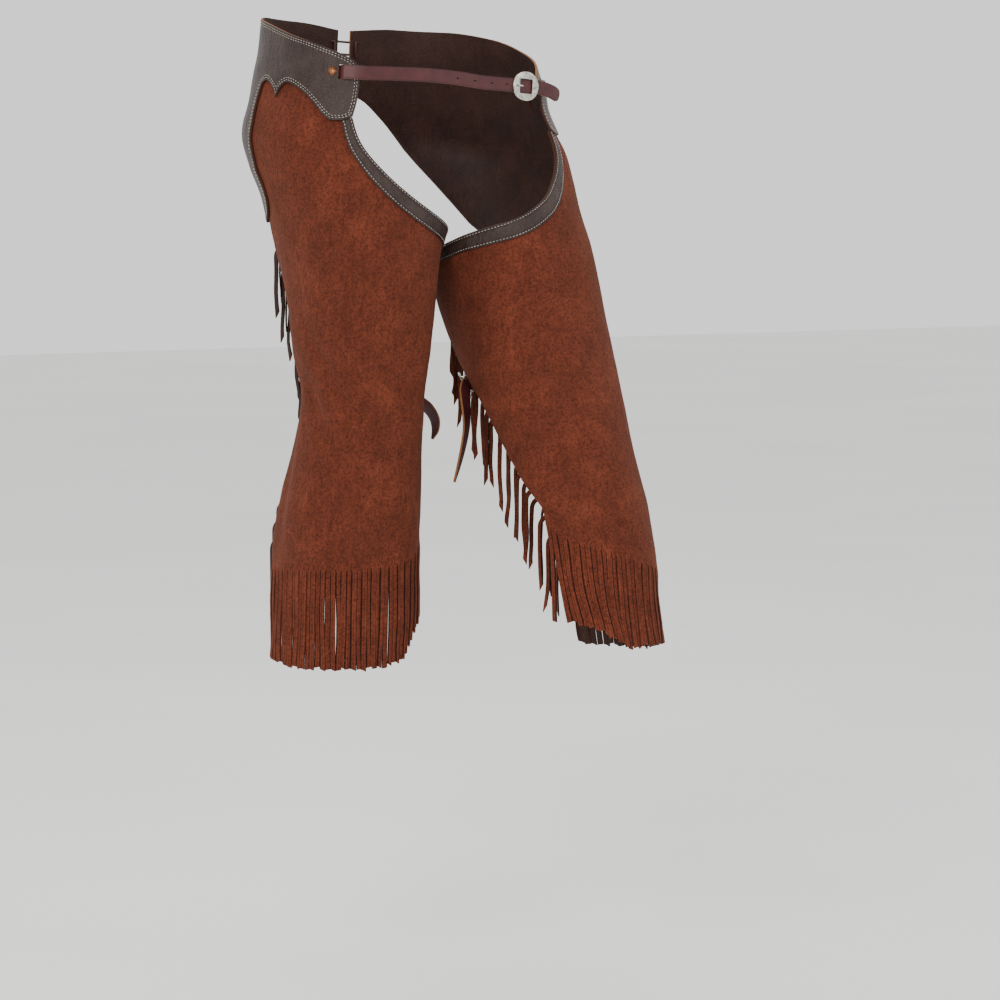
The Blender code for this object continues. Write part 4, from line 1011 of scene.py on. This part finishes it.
# a strap's points across its width and between two stations, and those of its rim
bandForm = {"cuts": (0.0, 0.03, 0.07, 0.12, 0.17, 0.24, 0.36, 0.5, 0.64, 0.76, 0.83, 0.88,
                     0.93, 0.97, 1.0), "samples": 4, "bevel": 0.0005,
            "rimSteps": 4, "rimGap": 0.01, "endSteps": 8}
ThighStrap = namedtuple("ThighStrap", "z sewn buckle tab leanAlong leanOut")
Tail = namedtuple("Tail", "along out drop twist width")
thigh = {
    "lift": 0.003, "sewnSteps": 6, "pastEdge": 13, "entry": -0.020, "tabEdge": 0.6,
    "straps": {"right": ThighStrap(-0.372, 148, 236, 270, 0.95, -0.30),
               "left": ThighStrap(-0.352, 158, 226, 260, 0.86, 0.50)},
    "tails": {
        "right": [Tail(0.021, 0.000, 0.000, 0.0, 1.0), Tail(0.029, 0.003, 0.001, 0.15, 1.0),
                  Tail(0.038, 0.010, 0.005, 0.45, 1.0), Tail(0.047, 0.017, 0.012, 0.75, 1.0),
                  Tail(0.053, 0.022, 0.024, 0.95, 0.9), Tail(0.053, 0.024, 0.037, 1.0, 0.62),
                  Tail(0.049, 0.024, 0.048, 1.0, 0.15)],
        "left": [Tail(0.0215, 0.000, 0.000, 0.0, 1.0), Tail(0.028, 0.001, 0.002, 0.12, 1.0),
                 Tail(0.0345, 0.002, 0.008, 0.4, 1.0), Tail(0.038, 0.001, 0.019, 0.75, 1.0),
                 Tail(0.038, 0.000, 0.033, 0.95, 0.95), Tail(0.035, 0.000, 0.050, 1.0, 0.85),
                 Tail(0.031, 0.004, 0.070, 1.0, 0.7), Tail(0.028, 0.010, 0.090, 1.0, 0.45),
                 Tail(0.026, 0.016, 0.107, 1.0, 0.12)]}}


def squareTo(axis, way):
    return (way - axis * way.dot(axis)).normalized()


class Fitting:
    # axes at a place on a strap: along it, out from the body and across it

    def __init__(self, centre, along, out):
        self.centre = centre
        self.along = along.normalized()
        self.out = squareTo(self.along, out)
        self.across = self.out.cross(self.along)

    def at(self, along, out, across=0.0):
        return self.centre + self.along * along + self.out * out + self.across * across

    def matrix(self, out=0.0):
        return axes(self.at(0.0, out), self.along, self.across, self.out)

    def prongHole(self):
        return self.at(hardware["prongHole"], 0.0), self.out


def cutOut(body, cutter):
    cut = body.modifiers.new("cut", "BOOLEAN")
    cut.operation = "DIFFERENCE"
    cut.object = cutter
    settle(body)
    bpy.data.objects.remove(cutter)


def peg(spot, axis):
    rod = bmesh.new()
    bmesh.ops.create_cone(rod, cap_ends=True, segments=20, radius1=hardware["hole"],
                          radius2=hardware["hole"], depth=cutterDepth)
    body = meshed("peg", rod)
    body.matrix_world = facing(spot, axis)
    return body


def band(name, node, stations, holes=()):
    # a strap through stations of (middle, half width), with holes at (place, axis)
    cuts = bandForm["cuts"]
    middles, halves = (pathThrough(points, bandForm["samples"]) for points in zip(*stations))

    def place(i, j):
        return middles[i] + halves[i] * (1 - 2 * cuts[j])

    body = shell(name, len(middles) - 1, len(cuts) - 1, place, leather["strap"], 0.0,
                 [latigo, latigo, rawTan], bevel=bandForm["bevel"])
    for hole in holes:
        cutOut(body, peg(*hole))
    steps, across = bandForm["rimSteps"], bandForm["endSteps"]
    rim = [spot + half * way for way in (1, -1) for spot, half in zip(middles, halves)]
    rim += [mix(a, b, t / steps) for a, b in zip(rim, rim[1:]) for t in range(steps)
            if (a - b).length < bandForm["rimGap"]]
    rim += [middles[end] + halves[end] * (t / across) for end in (0, -1)
            for t in range(-across, across + 1)]
    markEdge(body, rim)
    return finishPiece(body, "latigo", node)


def addLine(curve, spots):
    line = curve.splines.new("POLY")
    line.points.add(len(spots) - 1)
    for point, spot in zip(line.points, spots):
        point.co = (*spot, 1.0)
    return line


def settleCurve(name, curve):
    body = addBody(name, curve)
    shown = body.evaluated_get(bpy.context.evaluated_depsgraph_get())
    mesh = bpy.data.meshes.new_from_object(shown)
    bpy.data.objects.remove(body)
    weld = bmesh.new()
    weld.from_mesh(mesh)
    bmesh.ops.remove_doubles(weld, verts=weld.verts, dist=tiny)
    bmesh.ops.recalc_face_normals(weld, faces=weld.faces)
    weld.to_mesh(mesh)
    weld.free()
    mesh.name = name
    return addBody(name, mesh)


def tube(name, path, radius, material):
    curve = bpy.data.curves.new(name, "CURVE")
    curve.dimensions = "3D"
    addLine(curve, path)
    curve.bevel_depth = radius
    curve.bevel_resolution = 3
    curve.use_fill_caps = True
    curve.materials.append(material)
    return settleCurve(name, curve)


def joinInto(body, other):
    # one mesh of two closed pieces
    whole = bmesh.new()
    whole.from_mesh(body.data)
    whole.from_mesh(other.data)
    bpy.data.objects.remove(other)
    whole.to_mesh(body.data)
    whole.free()


def ovalBuckle(name, fitting, node):
    # cast oval plate with a square window and a heel wire behind it
    curve = bpy.data.curves.new(name, "CURVE")
    curve.dimensions = "2D"
    curve.fill_mode = "BOTH"
    soft, corner, sides = hardware["soft"], hardware["corner"], hardware["sides"]
    curve.extrude = hardware["plate"] / 2 - soft
    curve.bevel_depth = soft
    curve.bevel_resolution = 2
    curve.materials.append(silver)
    wide, high = hardware["width"] / 2 - soft, hardware["height"] / 2 - soft
    rim = [(wide * math.cos(a), high * math.sin(a), 0.0)
           for a in (2 * math.pi * k / sides for k in range(sides))]
    window = []
    for x, y, start in ((1, 1, 0), (-1, 1, 90), (-1, -1, 180), (1, -1, 270)):
        for degrees in (0, 22.5, 45, 67.5, 90):
            a = math.radians(start + degrees)
            window.append((x * (hardware["windowWidth"] / 2 + soft - corner)
                           + corner * math.cos(a),
                           y * (hardware["windowHeight"] / 2 + soft - corner)
                           + corner * math.sin(a), 0.0))
    for outline in (rim, window):
        addLine(curve, outline).use_cyclic_u = True
    body = settleCurve(name, curve)
    for vertex in body.data.vertices:
        vertex.co.z -= hardware["dome"] * (vertex.co.x / hardware["width"] * 2) ** 2
    body.data.transform(fitting.matrix(plateLevel))
    reach = leather["strapWidth"] / 2 + leather["seam"] * 3 + hardware["wire"]
    sunk = plateLevel - hardware["heelSunk"]
    heel = [fitting.at(hardware["heelOffset"], out, across) for out, across in
            ((sunk, reach), (heelLevel, reach), (heelLevel, -reach), (sunk, -reach))]
    joinInto(body, tube(f"{name}_heel", heel, hardware["wire"], silver))
    return finishPiece(body, "nickel_silver", node)


def prong(name, fitting, node):
    bar = hardware["prong"]
    root = (hardware["heelOffset"] - hardware["wire"] - leather["strap"] - bar
            - leather["seam"] * 3)
    over = leather["strap"] / 2 + leather["seam"] * 4 + hardware["plate"] + bar
    hole = hardware["prongHole"]
    # along the strap and out from it: up from the heel, through the hole, over the plate
    spots = [(root, heelLevel + 0.0012), (0.0, -0.0040), (hole + 0.0012, -0.0030),
             (hole + 0.0002, -0.0014), (hole - 0.0002, 0.0014), (hole - 0.0010, 0.0036),
             (-0.0080, over - 0.0004), (-0.0105, over), (-0.0145, over)]
    path = pathThrough([fitting.at(*spot) for spot in spots], 5)
    return finishPiece(tube(name, path, bar, silver), "nickel_silver", node)


def strapTab(name, fitting, before, node):
    # a short strap, sewn down and then folded round the heel wire
    wrap = hardware["wire"] + leather["seam"] + leather["strap"] / 2
    heel = hardware["heelOffset"]
    fold = [(heel + hardware["tabBefore"], heelLevel + wrap)]
    for degrees in (90, 135, 180, 225, 270):
        a = math.radians(degrees)
        fold.append((heel + math.cos(a) * wrap, heelLevel + math.sin(a) * wrap))
    fold.append((heel + hardware["tabAfter"], heelLevel - wrap))
    half = fitting.across * tabHalf
    return band(name, node, before + [(fitting.at(*spot), half) for spot in fold])


def frontFitting():
    before, here, after = (Vector(spot) for spot in frontRun[buckleSpot - 1:buckleSpot + 2])
    along = after - before
    return Fitting(here, along, Vector((along.y, -along.x, 0.0)))


def frontStrap(fitting):
    # hidden end, slit, run across the front, buckle and free tip
    right = skins["right"]
    level = slit["level"]
    levels = (yokeLift - leather["seam"] * 2 - leather["strap"] / 2, overYoke)
    degree = right.slopes(slit["turn"], level)[0].length
    laid = [(turn, levels[0]) for turn in slit["hidden"]]
    laid += [(slit["turn"] + along / degree, levels[front] + left)
             for along, front, left in slit["through"]]
    path = [right.at(turn, level, lift) for turn, lift in laid]
    ups = [right.upward(turn, level) for turn, _ in laid]
    path += evenly(pathThrough([path[-1], *frontRun]), runSteps)[1:]
    end = path.pop()
    way = (end - path[-1]).normalized()
    shares = [1.0] * len(path) + [share for _, share in strapTip]
    path += [end - way * back for back, _ in strapTip]
    ups += [upright] * (len(path) - len(ups))
    stations = [(spot, squareTo(way, up) * leather["strapWidth"] / 2 * share)
                for spot, way, up, share in zip(path, headings(path), ups, shares)]
    holes = []
    for x in holeXs:
        a, b = next((a, b) for a, b in zip(path, path[1:]) if a.x <= x < b.x)
        way = b - a
        holes.append((a.lerp(b, (x - a.x) / way.x), Vector((way.y, -way.x, 0.0))))
    return band("latigo_strap", "front_strap", stations, holes + [fitting.prongHole()])


def frontTab(fitting):
    left = skins["left"]
    before = [(left.at(turn, slit["level"], overYoke),
               left.upward(turn, slit["level"]) * tabHalf) for turn in tabTurns]
    return strapTab("buckle_tab", fitting, before, "front_tab")


def thighStrap(skin, strap, fitting):
    half = leather["strapWidth"] / 2
    stations = []
    for k in range(thigh["sewnSteps"] + 1):
        turn = mix(strap.sewn, skin.backEdge(strap.z) + thigh["pastEdge"],
                   k / thigh["sewnSteps"])
        stations.append((skin.at(turn, strap.z, insideLevel),
                         skin.upward(turn, strap.z) * half))
    up = squareTo(fitting.along, skin.upward(strap.buckle, strap.z))
    stations += [(fitting.at(along, 0.0), up * half) for along in (thigh["entry"], 0.0)]
    lean = fitting.along * strap.leanAlong + fitting.out * strap.leanOut
    rows = thigh["tails"][skin.side]
    spots = [fitting.at(row.along, row.out) - upright * row.drop for row in rows]
    for spot, way, row in zip(spots, headings(spots), rows):
        twist = row.twist * math.pi / 2
        across = squareTo(way, up * math.cos(twist) + lean * math.sin(twist))
        stations.append((spot, across * half * row.width))
    return band(f"leg_strap_{skin.side}", f"thigh_strap_{skin.side}", stations,
                [fitting.prongHole()])


def thighTab(skin, strap, fitting):
    # from just inside the inner edge, a whole turn on, round to the buckle
    edge = skin.innerEdge(strap.z + leather["strapWidth"] * thigh["tabEdge"]) + 359
    half = tabHalf * (1 if fitting.across.z > 0 else -1)
    before = [(skin.at(turn, strap.z, insideLevel), skin.upward(turn, strap.z) * half)
              for turn in (strap.tab, mix(strap.tab, edge, 0.5), edge)]
    return strapTab(f"leg_tab_{skin.side}", fitting, before, f"thigh_tab_{skin.side}")


# rivets by turn, height and radius, and the centre back lace
rivets = {"right": [(60.6, -0.001, 0.0048), (126, 0.044, 0.0036), (126, 0.022, 0.0036)],
          "left": [(126, 0.044, 0.0036), (126, 0.022, 0.0036)]}
rivetForm = {"high": 0.0022, "dome": 0.72, "sunk": -0.15, "washer": (1.15, 1.08),
             "thick": 0.0005, "lift": 0.0003}
laceUp = {"turn": 171.6, "heights": (0.046, 0.031, 0.016, 0.001), "radius": 0.0014,
          "bend": 0.0032, "tail": -0.012, "round": (-90, -135, 180, 135, 90)}


def rivet(skin, number, turn, z, radius):
    # a burr washer sunk in the leather with a low dome hammered over it
    dome = bmesh.new()
    bmesh.ops.create_uvsphere(dome, u_segments=20, v_segments=10, radius=1.0)
    bmesh.ops.bisect_plane(dome, geom=dome.verts[:] + dome.edges[:] + dome.faces[:],
                           plane_co=(0, 0, rivetForm["sunk"]), plane_no=(0, 0, -1),
                           clear_outer=True)
    wide = radius * rivetForm["dome"]
    bmesh.ops.scale(dome, verts=dome.verts, vec=(wide, wide, rivetForm["high"]))
    bmesh.ops.holes_fill(dome, edges=[e for e in dome.edges if e.is_boundary])
    lower, upper = (radius * share for share in rivetForm["washer"])
    washer = bmesh.ops.create_cone(dome, cap_ends=True, segments=24, radius1=lower,
                                   radius2=upper, depth=rivetForm["thick"])["verts"]
    bmesh.ops.translate(dome, verts=washer, vec=(0, 0, rivetForm["lift"]))
    for face in {face for vertex in washer for face in vertex.link_faces}:
        face.material_index = 1
    place = facing(skin.at(turn, z, yokeFace), skin.outward(turn, z))
    bmesh.ops.transform(dome, matrix=place, verts=dome.verts)
    body = meshed(f"copper_rivet_{skin.side}_{number}", dome, copper, darkCopper)
    return finishPiece(body, "copper", f"rivet_{skin.side}_{number}")


def backLace():
    path = []
    bend = laceUp["bend"]
    for k, z in enumerate(laceUp["heights"]):
        there = ("left", "right") if k % 2 else ("right", "left")
        for side, angles in zip(there, (laceUp["round"], laceUp["round"][::-1])):
            skin = skins[side]
            spot = skin.at(laceUp["turn"], z, yokeLift + leather["yoke"] / 2)
            out = skin.outward(laceUp["turn"], z)
            way = skin.onward(laceUp["turn"], z)
            for degrees in angles:
                a = math.radians(degrees)
                path.append(spot + way * (bend * (1 + math.cos(a)))
                            + out * (bend * math.sin(a)))
    down = upright * laceUp["tail"]
    path = pathThrough([path[0] + down, *path, path[-1] + down], 3)
    return finishPiece(tube("waist_lace", path, laceUp["radius"], lace), "latigo",
                       "back_lace")


for side, skin in skins.items():
    grid = panelGrid(skin)
    sewn = []
    made = [legPanel(skin, grid), frontBinding(skin, grid, sewn), yoke(skin, sewn),
            hemStrands(skin), backStrands(skin, grid), sewAll(f"stitches_{side}", sewn)]
    print(f"{side} leg made")
    strap = thigh["straps"][side]
    spot = strap.buckle, strap.z
    hold = Fitting(skin.at(*spot, thigh["lift"]), skin.onward(*spot), skin.outward(*spot))
    made += [thighStrap(skin, strap, hold), thighTab(skin, strap, hold),
             ovalBuckle(f"oval_buckle_{side}", hold, f"thigh_buckle_{side}"),
             prong(f"tongue_{side}", hold, f"thigh_prong_{side}")]
    made += [rivet(skin, k + 1, *row) for k, row in enumerate(rivets[side])]
    print(f"{side} strap and rivets made")

hold = frontFitting()
made = [frontStrap(hold), frontTab(hold),
        ovalBuckle("oval_buckle_front", hold, "front_buckle"),
        prong("tongue_front", hold, "front_prong"), backLace()]
print("front strap made")

aimCamera()
addFloor()
addLights()
